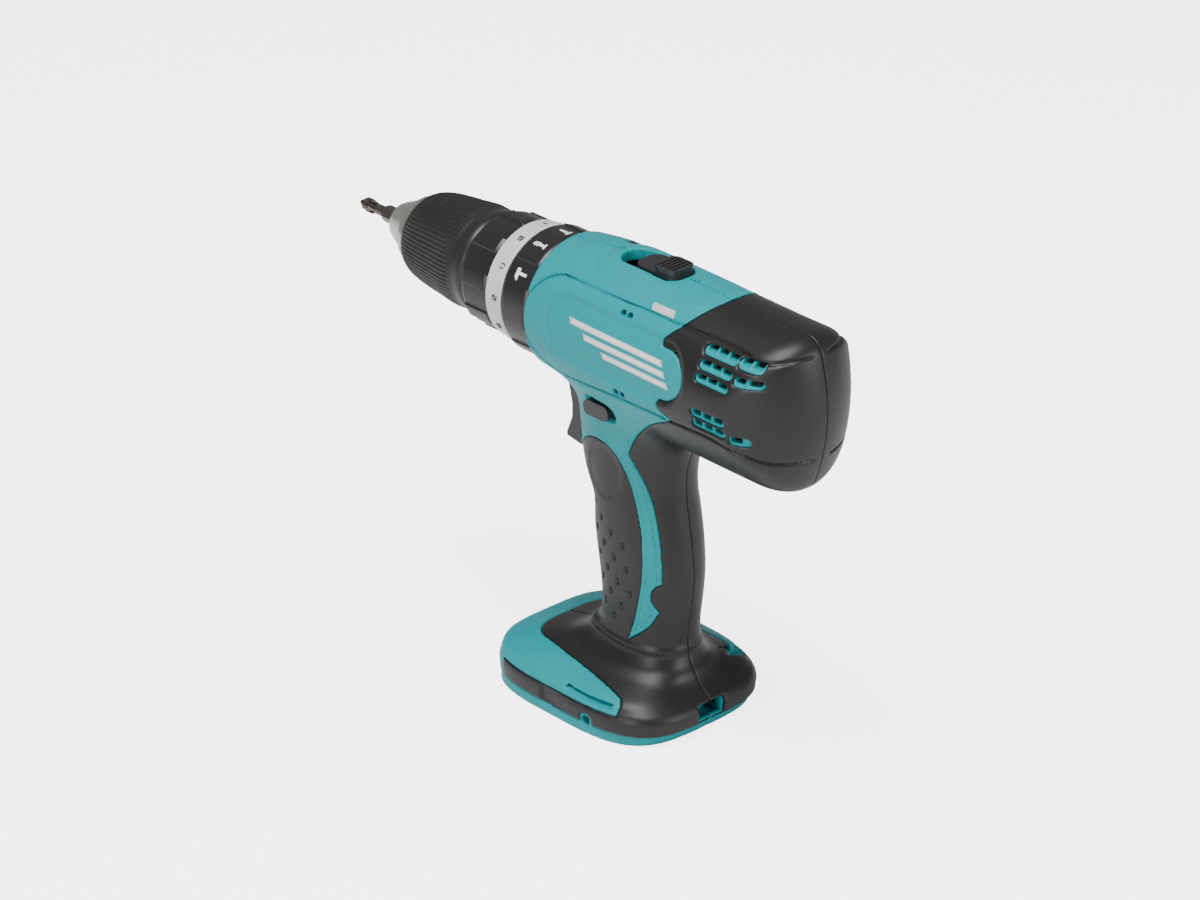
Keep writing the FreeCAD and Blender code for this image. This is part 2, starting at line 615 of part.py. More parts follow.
def castellated(x0, x1, radius, inner, lands, phase):
    """Collar with raised lands round its edge."""
    core = turned([(x0, inner), (x0, radius - land - 0.4), (x0 + 0.6, radius - land), (x1 - 0.6, radius - land),
                   (x1, radius - land - 0.4), (x1, inner)])
    width = math.pi * radius / lands
    pad = box(x0 + 1.6, x1 - 1.6, -width / 2, width / 2, spindle_height + radius - land - 1,
              spindle_height + radius + 1)
    pads = Part.makeCompound(on_circle(pad, lands, phase)).common(rod(x0, x1, radius))
    return core.fuse(pads.Solids)


mode_gap = 0.3
mode_ring = castellated(front_x + mode_gap, mode_end - mode_gap / 2, mode_ring_radius, ring_seat + run_gap, 12, 15)
save(mode_ring, "mode_ring")
torque_inner = torque_ring_radius - 2.6
torque_ring = castellated(scale_end, torque_end - 0.3, torque_ring_radius, torque_inner, 14, 0)
torque_ring = torque_ring.fuse(tube(torque_end - 1.6, torque_end - 0.3, torque_inner + 0.5, nose_radius + 0.6))
torque_ring = torque_ring.fuse(tube(torque_end - 3.6, torque_end - 1.5, nose_radius + 2.0, nose_radius + run_gap))
save(torque_ring, "torque_ring")
save(turned([(mode_end + mode_gap / 2, torque_inner), (mode_end + mode_gap / 2, torque_ring_radius + 0.6),
             (mode_end + 0.9, torque_ring_radius + 1.1), (scale_end - 0.3, torque_ring_radius + 0.1),
             (scale_end, torque_ring_radius - 0.2), (scale_end, torque_inner)]), "scale_band")
plate_x = mode_end + 1.0
plate_length = 2.5
clutch_travel = 5.0
nut_x = torque_end - 9.5
spring_wire = 0.9
spring_mean = (nose_radius + torque_inner) / 2
save(tube(plate_x, plate_x + plate_length, torque_inner - slide_gap, nose_radius + seat_gap), "clutch_plate")
save(tube(nut_x, nut_x + 3.5, torque_inner - run_gap, nose_radius + run_gap), "clutch_nut")
clutch_pin = rod(stage_2[1] + 1.2, plate_x, pin_radius, 0, spindle_height + pin_circle)
save(Part.makeCompound(on_circle(clutch_pin, 6, 30)), "clutch_pins")


def coil(length, turns, mean, wire):
    """Spring along +Z from the origin, closed with round wire ends."""
    path = Part.makeHelix(length / turns, length, mean)
    profile = Part.Wire(Part.makeCircle(wire, V(mean, 0, 0), V(0, 1, 0)))
    return Part.Wire(path).makePipeShell([profile], True, True)


spring_room = nut_x - plate_x - plate_length
clutch_spring = coil(spring_room - 2 * spring_wire - 0.2, 4, spring_mean, spring_wire)
clutch_spring.rotate(V(0, 0, 0), V(0, 1, 0), 90)
clutch_spring.translate(V(plate_x + plate_length + spring_wire + 0.1, 0, spindle_height))
save(clutch_spring, "clutch_spring")

# ------------------------------------------------------------ motor
can_inner = motor_radius - 1.5
bell_x = motor_rear_x - 10.0
motor_can = tube(motor_rear_x, motor_front_x, motor_radius, can_inner)
motor_can = motor_can.fuse(tube(motor_front_x - 1.5, motor_front_x, motor_radius - 0.5, 6.2))
motor_can = motor_can.cut(plate_holes)
save(motor_can, "motor_can")
plate_screw = rod(motor_front_x - 1.8, case_rear + 0.0, screw_radius, 0, spindle_height + plate_screw_circle)
save(Part.makeCompound(on_circle(plate_screw, 2, 90)), "motor_screws")
magnet_inner = 16.8
magnet_wedge = box(motor_rear_x + 4, motor_front_x - 8, -11, 11, spindle_height + 8, spindle_height + 40)
magnet = tube(motor_rear_x + 4, motor_front_x - 8, can_inner - seat_gap, magnet_inner).common(magnet_wedge)
save(Part.makeCompound(on_circle(magnet, 4, 0)), "motor_magnets")
shaft_radius = 2.5
shaft_rear = bell_x + 1.5
motor_bearing_length = 4.0
end_bell = turned([
    (bell_x, 0), (bell_x, 7.8), (bell_x + 3, 13.0), (bell_x + 6.5, 18.0), (motor_rear_x - 0.4, motor_radius - 0.8),
    (motor_rear_x, motor_radius), (motor_rear_x, can_inner), (bell_x + 7.5, can_inner - 3.6),
    (bell_x + 4.4, 12.6), (bell_x + 4.4, 6.5 + seat_gap), (bell_x + 1, 6.5 + seat_gap), (bell_x + 1, 0)])
end_bell = end_bell.cut(Part.makeCompound(on_circle(
    box(bell_x - 1, bell_x + 9, -4, 4, spindle_height + 13.5, spindle_height + 17), 4, 45)))
save(end_bell, "motor_end_bell")
save(Part.makeCompound([
    bearing(bell_x + 1.2, shaft_radius + run_gap, 6.5, motor_bearing_length),
    bearing(motor_front_x + 0.1, shaft_radius + run_gap, 6.0, case_rear - motor_front_x - 0.2)]), "motor_bearings")
save(rod(shaft_rear, stage_1[1] + 0.2, shaft_radius), "motor_shaft")
armature_radius = magnet_inner - 0.6
armature = tube(motor_rear_x + 5, motor_front_x - 9, armature_radius, shaft_radius)
armature = armature.cut(Part.makeCompound(on_circle(
    box(motor_rear_x, motor_front_x, -0.8, 0.8, spindle_height + armature_radius - 6, spindle_height + 20), 12)))
save(armature, "motor_armature")
commutator_radius = 7.5
commutator = tube(bell_x + 6.5, motor_rear_x + 4.5, commutator_radius, shaft_radius)
commutator = commutator.cut(Part.makeCompound(on_circle(
    box(bell_x + 6, motor_rear_x + 5, -0.25, 0.25, spindle_height + commutator_radius - 1, spindle_height + 9), 12)))
save(commutator, "motor_commutator")
fan = tube(motor_front_x - 7.5, motor_front_x - 6.3, can_inner - 1.2, shaft_radius).fuse(
    tube(motor_front_x - 7.5, motor_front_x - 2.5, 6.0, shaft_radius))
blades = on_circle(box(motor_front_x - 6.6, motor_front_x - 2.5, -0.5, 0.5, spindle_height + 5.5,
                       spindle_height + can_inner - 1.4), 11)
save(fan.fuse(blades), "motor_fan")
brush_gap = 0.1
brushes = []
for side in (1, -1):
    y0, y1 = sorted((side * (commutator_radius - 2), side * (can_inner - 5)))
    brushes.append(box(bell_x + 7, bell_x + 12, y0, y1, spindle_height - 2.5, spindle_height + 2.5).cut(
        rod(bell_x, motor_rear_x + 5, commutator_radius + brush_gap)))
save(Part.makeCompound(brushes), "carbon_brushes")

# ------------------------------------------------------------ switch, trigger, lever, lamp
switch_front, switch_rear = -3.0, -26.0
switch_top, switch_bottom = trigger_top + 0.5, trigger_bottom - 1.5
stem_radius = 3.0
stem_z = (switch_top + switch_bottom) / 2 + 3
switch_body = box(switch_rear, switch_front, -7.8, 7.8, switch_bottom, switch_top)
switch_body = switch_body.cut(rod(switch_front - 14, switch_front + 1, stem_radius + run_gap, 0, stem_z))
save(switch_body, "switch_body")
trigger_profile = [
    (6.5, trigger_top - 1), (7.0, trigger_top), (23.5, trigger_top), (24.2, trigger_top - 2.0), (22.6, trigger_top - 9),
    (22.8, trigger_top - 15), (25.6, trigger_bottom + 3.2), (24.6, trigger_bottom + 1.2), (17.5, trigger_bottom),
    (9.0, trigger_bottom), (6.5, trigger_bottom + 4)]
trigger = prism(trigger_profile, -trigger_width / 2, trigger_width / 2)
front_edges = [e for e in trigger.Edges if e.Length > 3 and e.BoundBox.YLength < 0.01 and e.BoundBox.XMin > 21]
trigger = trigger.makeFillet(1.6, front_edges)
trigger = trigger.fuse(rod(switch_front - 5, 8, stem_radius, 0, stem_z))
save(trigger, "trigger")
trigger_spring = coil(6.6, 5, 4.4, 0.5)
trigger_spring.rotate(V(0, 0, 0), V(0, 1, 0), 90)
trigger_spring.translate(V(switch_front + 0.9, 0, stem_z))
save(trigger_spring, "trigger_spring")
lever_left = 23.2
lever_right = 19.0
lever = rounded_box(lever_x - lever_length / 2, lever_x + lever_length / 2, -lever_right, lever_left,
                    lever_z - lever_height / 2, lever_z + lever_height / 2, 2.8, V(0, 1, 0))
save(lever, "direction_lever")
save(rod(13.5, 18.5, lamp_radius, 0, lamp_z).fuse(rod(12.0, 13.5, lamp_radius - 0.6, 0, lamp_z)), "lamp_lens")

# ------------------------------------------------------------ speed selector
knob_top = spindle_height + 34.0
plate_low = spindle_height + 27.0
knob = rounded_box(selector_rear, selector_rear + selector_length, -selector_width / 2, selector_width / 2,
                   plate_low, knob_top - 2.6, 4.5, V(0, 0, 1))
grip_block = rounded_box(selector_rear + 0.6, selector_rear + 13.0, -selector_width / 2 + 0.6,
                         selector_width / 2 - 0.6, knob_top - 3.0, knob_top, 3.5, V(0, 0, 1))
knob_grooves = [box(selector_rear + 2.6 + 1.9 * i, selector_rear + 3.4 + 1.9 * i, -5, 5, knob_top - 0.6, knob_top + 1)
                for i in range(5)]
save(knob.fuse(grip_block).cut(Part.makeCompound(knob_grooves)), "speed_selector")
fork_rear = selector_rear + 3
fork = box(fork_rear, fork_rear + 12, -3, 3, case_outer + spindle_height + 0.6, plate_low)
fork = fork.fuse(tube(fork_rear + 4, fork_rear + 6, case_outer + 2.6, case_outer + 0.5).common(
    box(-100, 0, -40, 40, spindle_height - 4, 260)))
save(fork, "shift_fork")

# ------------------------------------------------------------ battery terminals and wiring
block_rear, block_front = -28.0, 3.0
terminal_block = box(block_rear, block_front, -10.5, 10.5, rim_top + 0.5, foot_top - 4)
blade_slots = [box(block_rear - 1, block_front - 4, y - 0.5, y + 0.5, rim_top, rim_top + 8) for y in (-7, 7)]
save(terminal_block.cut(Part.makeCompound(blade_slots)), "terminal_block")
blade_gap = 0.1
save(Part.makeCompound([box(block_rear + 3, block_front - 5, y - 0.5 + blade_gap, y + 0.5 - blade_gap,
                            rim_top + 1, rim_top + 7.5) for y in (-7, 7)]), "battery_terminals")
wire_radius = 1.2


def wire_run(points):
    """Insulated wire through straight runs with rounded corners as spheres."""
    pieces = []
    for a, b in zip(points, points[1:]):
        pieces.append(Part.makeCylinder(wire_radius, b.sub(a).Length, a, b.sub(a)))
    for a in points[1:-1]:
        pieces.append(Part.makeSphere(wire_radius, a))
    return pieces[0].fuse(pieces[1:])


wire_z = spindle_height - motor_radius - wire_radius - 0.8
solder_x = motor_rear_x + 8.0
supply = [wire_run([V(-22, side * 4, foot_top - 4), V(-22, side * 4, foot_top), V(-26, side * 5, 40),
                    V(-28, side * 5, 70), V(-22, side * 4, switch_bottom - 3),
                    V(-22, side * 4, switch_bottom)]) for side in (1, -1)]
motor_wires = [wire_run([V(-22, side * 6, switch_top), V(-22, side * 6, switch_top + 3),
                         V(-30, side * 6, wire_z), V(solder_x, side * 6, wire_z),
                         V(solder_x, side * 6, spindle_height - motor_radius)]) for side in (1, -1)]
save(Part.makeCompound(supply + motor_wires), "wires")
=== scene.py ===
import bpy
import json
import math
import numpy as np
from mathutils import Matrix, Vector


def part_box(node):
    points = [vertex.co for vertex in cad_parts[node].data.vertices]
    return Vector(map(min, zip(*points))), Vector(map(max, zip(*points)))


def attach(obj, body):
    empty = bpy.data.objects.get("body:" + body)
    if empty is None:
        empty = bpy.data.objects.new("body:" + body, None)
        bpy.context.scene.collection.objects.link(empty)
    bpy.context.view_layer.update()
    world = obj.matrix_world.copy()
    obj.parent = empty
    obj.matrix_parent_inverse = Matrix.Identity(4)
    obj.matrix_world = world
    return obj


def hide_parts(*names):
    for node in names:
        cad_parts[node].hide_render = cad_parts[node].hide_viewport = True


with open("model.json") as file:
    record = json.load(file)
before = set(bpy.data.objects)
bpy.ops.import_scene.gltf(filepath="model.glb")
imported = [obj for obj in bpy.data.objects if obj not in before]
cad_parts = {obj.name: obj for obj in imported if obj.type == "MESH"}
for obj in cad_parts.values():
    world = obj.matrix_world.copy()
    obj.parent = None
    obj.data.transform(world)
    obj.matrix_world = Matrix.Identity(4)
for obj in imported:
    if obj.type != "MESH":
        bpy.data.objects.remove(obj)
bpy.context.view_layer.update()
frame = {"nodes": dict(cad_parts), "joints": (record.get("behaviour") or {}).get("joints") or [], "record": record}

MM = 0.001
scene = bpy.context.scene

# ---------------------------------------------------------------- camera
# A long lens looks down on the drill from behind its left side, with the
# chuck pointing away to the upper left.
lens_mm, sensor_mm = 150.0, 36.0
look_azimuth, look_height, look_roll = math.radians(227.42), math.radians(26.82), math.radians(-0.386)
look_distance = 1.9864
look_at = Vector((0.0137, 0.0, 0.1008))
back = Vector((math.sin(look_azimuth) * math.cos(look_height),
               -math.cos(look_azimuth) * math.cos(look_height), math.sin(look_height)))
level_right = Vector((math.cos(look_azimuth), math.sin(look_azimuth), 0.0))
level_up = back.cross(level_right)
right = level_right * math.cos(look_roll) + level_up * math.sin(look_roll)
above = back.cross(right)
camera = bpy.data.objects.new("camera", bpy.data.cameras.new("camera"))
camera.data.lens = lens_mm
camera.data.sensor_width = sensor_mm
camera.data.clip_end = 20.0
turn = Matrix((right, above, back)).transposed().to_4x4()
camera.matrix_world = Matrix.Translation(look_at + back * look_distance) @ turn
scene.collection.objects.link(camera)
scene.camera = camera

# ---------------------------------------------------------------- floor and studio light
# A plain pale sweep under three soft boxes: one overhead, one on the user's
# left and a narrow one behind, with an even surround.
floor_size = 6.0
floor_mesh = bpy.data.meshes.new("floor")
floor_mesh.from_pydata([(-floor_size, -floor_size, 0), (floor_size, -floor_size, 0),
                        (floor_size, floor_size, 0), (-floor_size, floor_size, 0)], [], [(0, 1, 2, 3)])
floor = bpy.data.objects.new("floor", floor_mesh)
floor.location.z = -0.0002
scene.collection.objects.link(floor)
floor_paint = bpy.data.materials.new("floor_paint")
floor_paint.use_nodes = True
floor_tree = floor_paint.node_tree
floor_shader = floor_tree.nodes["Principled BSDF"]
floor_shader.inputs["Base Color"].default_value = (0.9, 0.9, 0.9, 1)
floor_shader.inputs["Roughness"].default_value = 0.8
floor_shader.inputs["Emission Color"].default_value = (1, 1, 1, 1)
# the sweep glows to the eye only, so it doesn't light the drill from below
seen = floor_tree.nodes.new("ShaderNodeLightPath")
glow = floor_tree.nodes.new("ShaderNodeMath")
glow.operation = "MULTIPLY"
glow.inputs[1].default_value = 3.6
floor_tree.links.new(seen.outputs["Is Camera Ray"], glow.inputs[0])
floor_tree.links.new(glow.outputs[0], floor_shader.inputs["Emission Strength"])
floor_mesh.materials.append(floor_paint)
world = bpy.data.worlds.new("surround")
world.use_nodes = True
world.node_tree.nodes["Background"].inputs["Color"].default_value = (1, 1, 1, 1)
world.node_tree.nodes["Background"].inputs["Strength"].default_value = 0.34
scene.world = world


def soft_box(name, place, size, power):
    """Square area light that faces the drill."""
    light = bpy.data.objects.new(name, bpy.data.lights.new(name, "AREA"))
    light.data.shape = "RECTANGLE"
    light.data.size, light.data.size_y = size
    light.data.energy = power
    light.location = place
    light.rotation_mode = "QUATERNION"
    light.rotation_quaternion = (Vector(place) - look_at).to_track_quat("Z", "Y")
    scene.collection.objects.link(light)


soft_box("soft_box_top", (-0.15, 0.35, 1.5), (0.9, 0.6), 31.0)
soft_box("soft_box_left", (-0.4, 1.5, 0.5), (0.5, 0.8), 11.0)
soft_box("soft_box_rear", (-1.5, -0.5, 0.55), (0.35, 0.7), 11.0)

# ---------------------------------------------------------------- hard shells
# The two halves of the drill's body: glass-filled nylon, moulded in teal with
# a fine spark texture, screwed together along the middle plane.
spindle_z = 162.5
front_x = 27.0
skin_depth = 2.0
shell_depth = 4.2
cell = 0.6


def curve_through(points, column, at):
    """Smooth curve through the points' given column, read at places along the first column."""
    xs = np.array([p[0] for p in points], float)
    ys = np.array([p[column] for p in points], float)
    slope = np.gradient(ys, xs)
    i = np.clip(np.searchsorted(xs, at) - 1, 0, len(xs) - 2)
    h = xs[i + 1] - xs[i]
    t = np.clip((at - xs[i]) / h, 0, 1)
    return ((2 * t ** 3 - 3 * t ** 2 + 1) * ys[i] + (t ** 3 - 2 * t ** 2 + t) * h * slope[i]
            + (3 * t ** 2 - 2 * t ** 3) * ys[i + 1] + (t ** 3 - t ** 2) * h * slope[i + 1])


def round_max(a, b, k):
    """Larger of two fields, with the edge between them rounded over about k."""
    h = np.maximum(k - np.abs(a - b), 0) / k
    return np.maximum(a, b) + h * h * (k / 4)


def round_min(a, b, k):
    return -round_max(-a, -b, k)


def step_up(t):
    """Smooth step from 0 to 1 as t goes from 0 to 1."""
    t = np.clip(t, 0, 1)
    return t * t * (3 - 2 * t)


def oval_gap(u, v, half, low, high, power):
    """Distance outside an oval of that half width across u and reach low / high along v."""
    reach = np.where(v > 0, high, low)
    r = (np.abs(u / half) ** power + np.abs(v / reach) ** power) ** (1 / power)
    rho = np.sqrt(u * u + v * v + 1e-3)
    return rho - rho / np.maximum(r, 1e-3)


# along the barrel: x, height over and under the spindle, half width
barrel_line = [(-80, 29.2, 36.8, 31.5), (-60, 29.6, 36.5, 31.5), (-35, 30.2, 35.0, 31.0),
               (-10, 30.4, 32.0, 30.5),
               (14, 29.8, 29.5, 29.3), (27, 28.0, 28.0, 28.0)]
cap_start, cap_length, cap_half = -80.0, 32.6, 31.5
# up the handle: z, rear x, front x, half width
handle_line = [(12, -40, 18.0, 22.0), (22, -38.5, 12.0, 19.5), (29, -37.0, 7.6, 17.0), (40, -37.4, 5.6, 16.1),
               (52, -39.2, 6.0, 16.2), (63, -40.4, 7.8, 16.4), (76, -39.8, 9.6, 16.6),
               (90, -37.6, 10.4, 16.5),
               (99, -36.3, 14.6, 16.5), (106, -36.2, 16.4, 16.8), (116, -38.0, 17.0, 17.6),
               (128, -44.0, 18.0, 19.0),
               (150, -52.0, 20.0, 21.0)]
# up the foot: z, rear reach, front reach, half width
foot_line = [(0, 51.2, 47.2, 39.6), (6, 51.2, 47.2, 39.6), (11.8, 51.0, 47.2, 39.6), (13.2, 49.9, 47.0, 39.2),
             (14.4, 48.4, 46.8, 38.4), (17.0, 44.8, 45.8, 36.2), (20.2, 40.4, 35.0, 28.5),
             (23.5, 36.8, 21.5, 20.0),
             (27, 34.0, 14.0, 16.0), (34, 30.0, 6.0, 12.0)]
rim_rear, rim_front, rim_half, rim_top = 47.5, 47.0, 39.1, 5.0


def body_form(x, y, z):
    """Field of the drill's plain outer form, in mm: below 0 inside."""
    over, under, half = (curve_through(barrel_line, c, x) for c in (1, 2, 3))
    tube = oval_gap(y, z - spindle_z, half, under, over, 2.05)
    behind = np.maximum(cap_start - x + 0.0065 * (z - spindle_z) ** 2, 0)
    round_end = np.sqrt((behind / cap_length) ** 2 + (y / cap_half) ** 2) + 1e-6
    cap = np.hypot(behind, y) * (1 - 1 / round_end)
    corner = (2.0 + 5.0 * step_up((np.abs(z - spindle_z) - 14) / 12)) * np.clip(behind / 16, 0.02, 1)
    tube = round_max(tube, np.where(behind > 0, cap, -50.0), corner)
    tube = np.maximum(tube, x - front_x)
    back_x, fore_x, grip_half = (curve_through(handle_line, c, z) for c in (1, 2, 3))
    middle = (back_x + fore_x) / 2
    grip = oval_gap(y, x - middle, grip_half, middle - back_x, fore_x - middle, 2.3)
    grip = np.maximum(grip, np.maximum(14 - z, z - 150))
    rear_reach, front_reach, foot_half = (curve_through(foot_line, c, z) for c in (1, 2, 3))
    steep = np.sqrt(1 + np.gradient(curve_through(foot_line, 3, np.arange(0, 40.0, 0.5)), 0.5) ** 2)
    foot = oval_gap(y, x, foot_half, rear_reach, front_reach, 3.6)
    foot = foot / np.interp(z, np.arange(0, 40.0, 0.5), steep)
    foot = np.maximum(foot, np.maximum(-z, z - 33))
    return round_min(round_min(tube, grip, 9.0), foot, 7.0)


def capsule(u, v, u0, v0, u1, v1, radius):
    """Distance outside a flat capsule between two points."""
    du, dv = u1 - u0, v1 - v0
    t = np.clip(((u - u0) * du + (v - v0) * dv) / (du * du + dv * dv), 0, 1)
    return np.hypot(u - u0 - t * du, v - v0 - t * dv) - radius


def block(u, v, u0, u1, v0, v1, radius=0.0):
    """Distance outside a flat rectangle with rounded corners."""
    a = np.abs(u - (u0 + u1) / 2) - (u1 - u0) / 2 + radius
    b = np.abs(v - (v0 + v1) / 2) - (v1 - v0) / 2 + radius
    return np.hypot(np.maximum(a, 0), np.maximum(b, 0)) + np.minimum(np.maximum(a, b), 0) - radius


# mould seams of the side band: along the top and bottom of the barrel, joined by an arc at the front
seam_high = [(-113, 186.4), (-108.6, 186.0), (-101.6, 184.8), (-84, 185.3), (-53, 185.3), (-10, 184.7),
             (8, 184.6)]
seam_low = [(-113, 143.4), (-109, 143.6), (-103, 144.6), (-95, 147.6), (-87, 149.4), (-57, 149.5),
            (-16, 147.2),
            (8, 144.2)]
seam_front = (8.0, 164.3, 20.3)
grip_dot_starts = [(2.2, 87.4), (-3.8, 83.2), (-10.2, 79.0), (-17.0, 75.6)]
grip_dot_step = (-1.8, -10.4)
grip_dot_counts = [5, 5, 4, 3]


def relief(x, y, z):
    """Depth of the shallow mould details below the plain form, in mm."""
    side = np.abs(y)
    flank = step_up((side - 8) / 6)
    band = np.where(x < seam_front[0],
                    np.maximum(z - curve_through(seam_high, 1, x), curve_through(seam_low, 1, x) - z),
                    np.hypot(x - seam_front[0], z - seam_front[1]) - seam_front[2])
    rear_part = step_up((side - 2) / 4)
    depth = 1.05 * np.exp(-(band / 0.5) ** 2) * np.where(x < -95, rear_part, flank)
    panel = capsule(x, z, 2.6, 167.6, -53.0, 168.0, 13.6)
    depth = depth + 1.25 * step_up(-panel / 3.0) * flank
    raised = block(x, side, -61, 3, -30, 17.5, 9.0)
    depth = depth - 0.9 * step_up(-raised / 5.0) * step_up((z - 185) / 6)
    oval = np.hypot((x + 6.0 + 0.1 * (z - 104.6)) / 9.6, (z - 104.6) / 11.6) - 1
    thumb = step_up((side - 5) / 4)
    depth = depth + (0.5 * step_up(-oval * 10 / 1.2) + 0.35 * np.exp(-(oval * 10 / 0.55) ** 2)) * thumb
    depth = depth - 0.7 * np.exp(-((z - 33.5 - 0.05 * x) / 1.5) ** 2)
    slit = capsule(x, z, -29.5, 15.2, -6.5, 15.6, 0.55)
    depth = depth + 2.2 * step_up(0.9 - slit / 0.6) * (side > 30)
    depth = depth + 0.4 * np.exp(-((x - 6.6) / 0.4) ** 2) * (side > 34) * (z > 5) * (z < 12.8)
    panel_height = step_up((z - 5) / 0.8) * step_up((12.6 - z) / 1.0)
    depth = depth + 0.9 * step_up((6.6 - x) / 0.9) * (side > 30) * panel_height * step_up((x + 12) / 18)
    return depth


# outline of the soft grip seen from the side: behind and below, and the front of the handle
rear_outline = [
    (-61.6, 206), (-61.6, 192.0), (-60.3, 191.2), (-58.1, 188.9), (-54.7, 185.2), (-50.6, 180.9),
    (-49.3, 178.9),
    (-49.9, 177.4), (-52.0, 177.0), (-55.6, 176.8), (-59.8, 175.3), (-63.0, 171.6), (-64.3, 167.4),
    (-63.4, 163.4), (-60.4, 160.0), (-56.2, 157.5), (-52.2, 157.1), (-51.0, 155.3), (-51.2, 153.4),
    (-53.4, 152.1), (-58.6, 149.9), (-53.3, 147.2), (-47.1, 143.8), (-41.0, 139.9), (-34.5, 134.8),
    (-28.8, 130.0), (-24.4, 124.4), (-20.8, 117.6), (-26.2, 106.8), (-30.8, 92.9), (-33.7, 77.4),
    (-34.6, 63.2), (-31.6, 61.0), (-30.0, 57.0), (-30.6, 53.6), (-33.0, 50.1), (-28.4, 42.2), (-19.6, 34.4),
    (-19.6, 24), (-135, 24), (-135, 206)]
rear_corners = (0, 1, 16, 20, 27, 31, 35, 37, 38, 39, 40)
front_outline = [
    (-19.6, 34.4), (-23.8, 49.0), (-26.7, 65.8), (-26.1, 83.4), (-22.1, 99.4), (-18.0, 109.8), (-12.6, 116.4),
    (-4.5, 118.6), (3.7, 116.2), (10.0, 110.6), (17.4, 103.0), (45, 90), (45, 24), (-19.6, 24)]
front_corners = (0, 10, 11, 12, 13)
boot_outline = [(33.4, 0), (33.6, 7), (32.4, 13.5), (29.4, 18.4), (23.5, 21.9), (10.8, 24.4), (-9.3, 27.3),
                (-31.0, 30.8),
                (-33.2, 33.0), (-33.9, 36.5), (-33.9, 50), (-70, 50), (-70, -8), (33.4, -8)]
boot_corners = (0, 7, 8, 9, 10, 11, 12, 13)


def rounded_path(points, corners, steps=6):
    """Closed outline as close points: a smooth curve through the points, sharp at the corners named."""
    count = len(points)
    path = []
    for i in range(count):
        p0, p1, p2, p3 = (np.array(points[(i + k) % count], float) for k in (-1, 0, 1, 2))
        m1 = (p2 - p0) / 2 if i not in corners else p2 - p1
        m2 = (p3 - p1) / 2 if (i + 1) % count not in corners else p2 - p1
        length = np.linalg.norm(p2 - p1)
        m1 = m1 * min(1.0, 1.3 * length / max(np.linalg.norm(m1), 1e-6))
        m2 = m2 * min(1.0, 1.3 * length / max(np.linalg.norm(m2), 1e-6))
        for t in np.arange(steps) / steps:
            path.append((2 * t ** 3 - 3 * t ** 2 + 1) * p1 + (t ** 3 - 2 * t ** 2 + t) * m1
                        + (3 * t ** 2 - 2 * t ** 3) * p2 + (t ** 3 - t ** 2) * m2)
    return np.array(path)


def outline_field(path, us, vs):
    """Signed distance to a closed path on a flat grid: below 0 inside."""
    u, v = np.meshgrid(us, vs, indexing="ij")
    gap = np.full(u.shape, 1e9)
    inside = np.zeros(u.shape, bool)
    for (u0, v0), (u1, v1) in zip(path, np.roll(path, -1, axis=0)):
        gap = np.minimum(gap, capsule(u, v, u0, v0, u1 + 1e-9, v1, 0))
        if v0 != v1:
            crosses = (v0 > v) != (v1 > v)
            inside ^= crosses & (u < (u1 - u0) * (v - v0) / (v1 - v0) + u0)
    return np.where(inside, -gap, gap)


grid_x = np.arange(-114.5, 49.5, cell)
grid_y = np.arange(-0.9, 41.5, cell)
grid_z = np.arange(-1.5, 203.5, cell)
gx, gy, gz = grid_x[:, None, None], grid_y[None, :, None], grid_z[None, None, :]
form = body_form(gx, gy, gz).astype(np.float32)
steepness = np.sqrt(sum(g * g for g in np.gradient(form, cell)))
form = form / np.clip(steepness, 0.6, 4.0)
rim = oval_gap(gy, gx, rim_half, rim_rear, rim_front, 3.6)
outside = np.where(gz < rim_top, np.maximum(form, rim), form) + relief(gx, gy, gz)
outside = outside.astype(np.float32)
side_soft = np.minimum(outline_field(rounded_path(rear_outline, rear_corners), grid_x, grid_z),
                       outline_field(rounded_path(front_outline, front_corners), grid_x, grid_z))[:, None, :]
boot_soft = outline_field(rounded_path(boot_outline, boot_corners), grid_x, grid_y)[:, :, None]
skirt_low, skirt_high, skirt_front = rim_top, 12.8, 33.0
boot_band = np.maximum(skirt_high - 0.8 - gz, gz - 31)
soft = np.minimum(np.maximum(side_soft, 28 - gz), np.maximum(boot_soft, boot_band))
skirt = np.maximum(gx - skirt_front, np.maximum(gz - skirt_high, skirt_low - gz))
soft = np.minimum(soft, skirt)
hook_x, hook_z = -19.1, 6.4
hook_ring = np.maximum(np.hypot(gx - hook_x, gz - hook_z) - 3.1, 30 - gy)
soft = np.maximum(soft, -hook_ring).astype(np.float32)
# a fine inner line follows the soft edge down the teal stripe of the handle
stripe_line = np.exp(-((soft - 1.7) / 0.35) ** 2) * ((gz < 128) & (gz > 30) & (gx < -16) & (gy > 6))
outside = outside + (0.25 * stripe_line).astype(np.float32)
lip = step_up((1.5 - soft) / 0.5) * step_up((soft + 0.4) / 0.3) * (gz > 28)
outside = outside - (0.3 * lip).astype(np.float32)

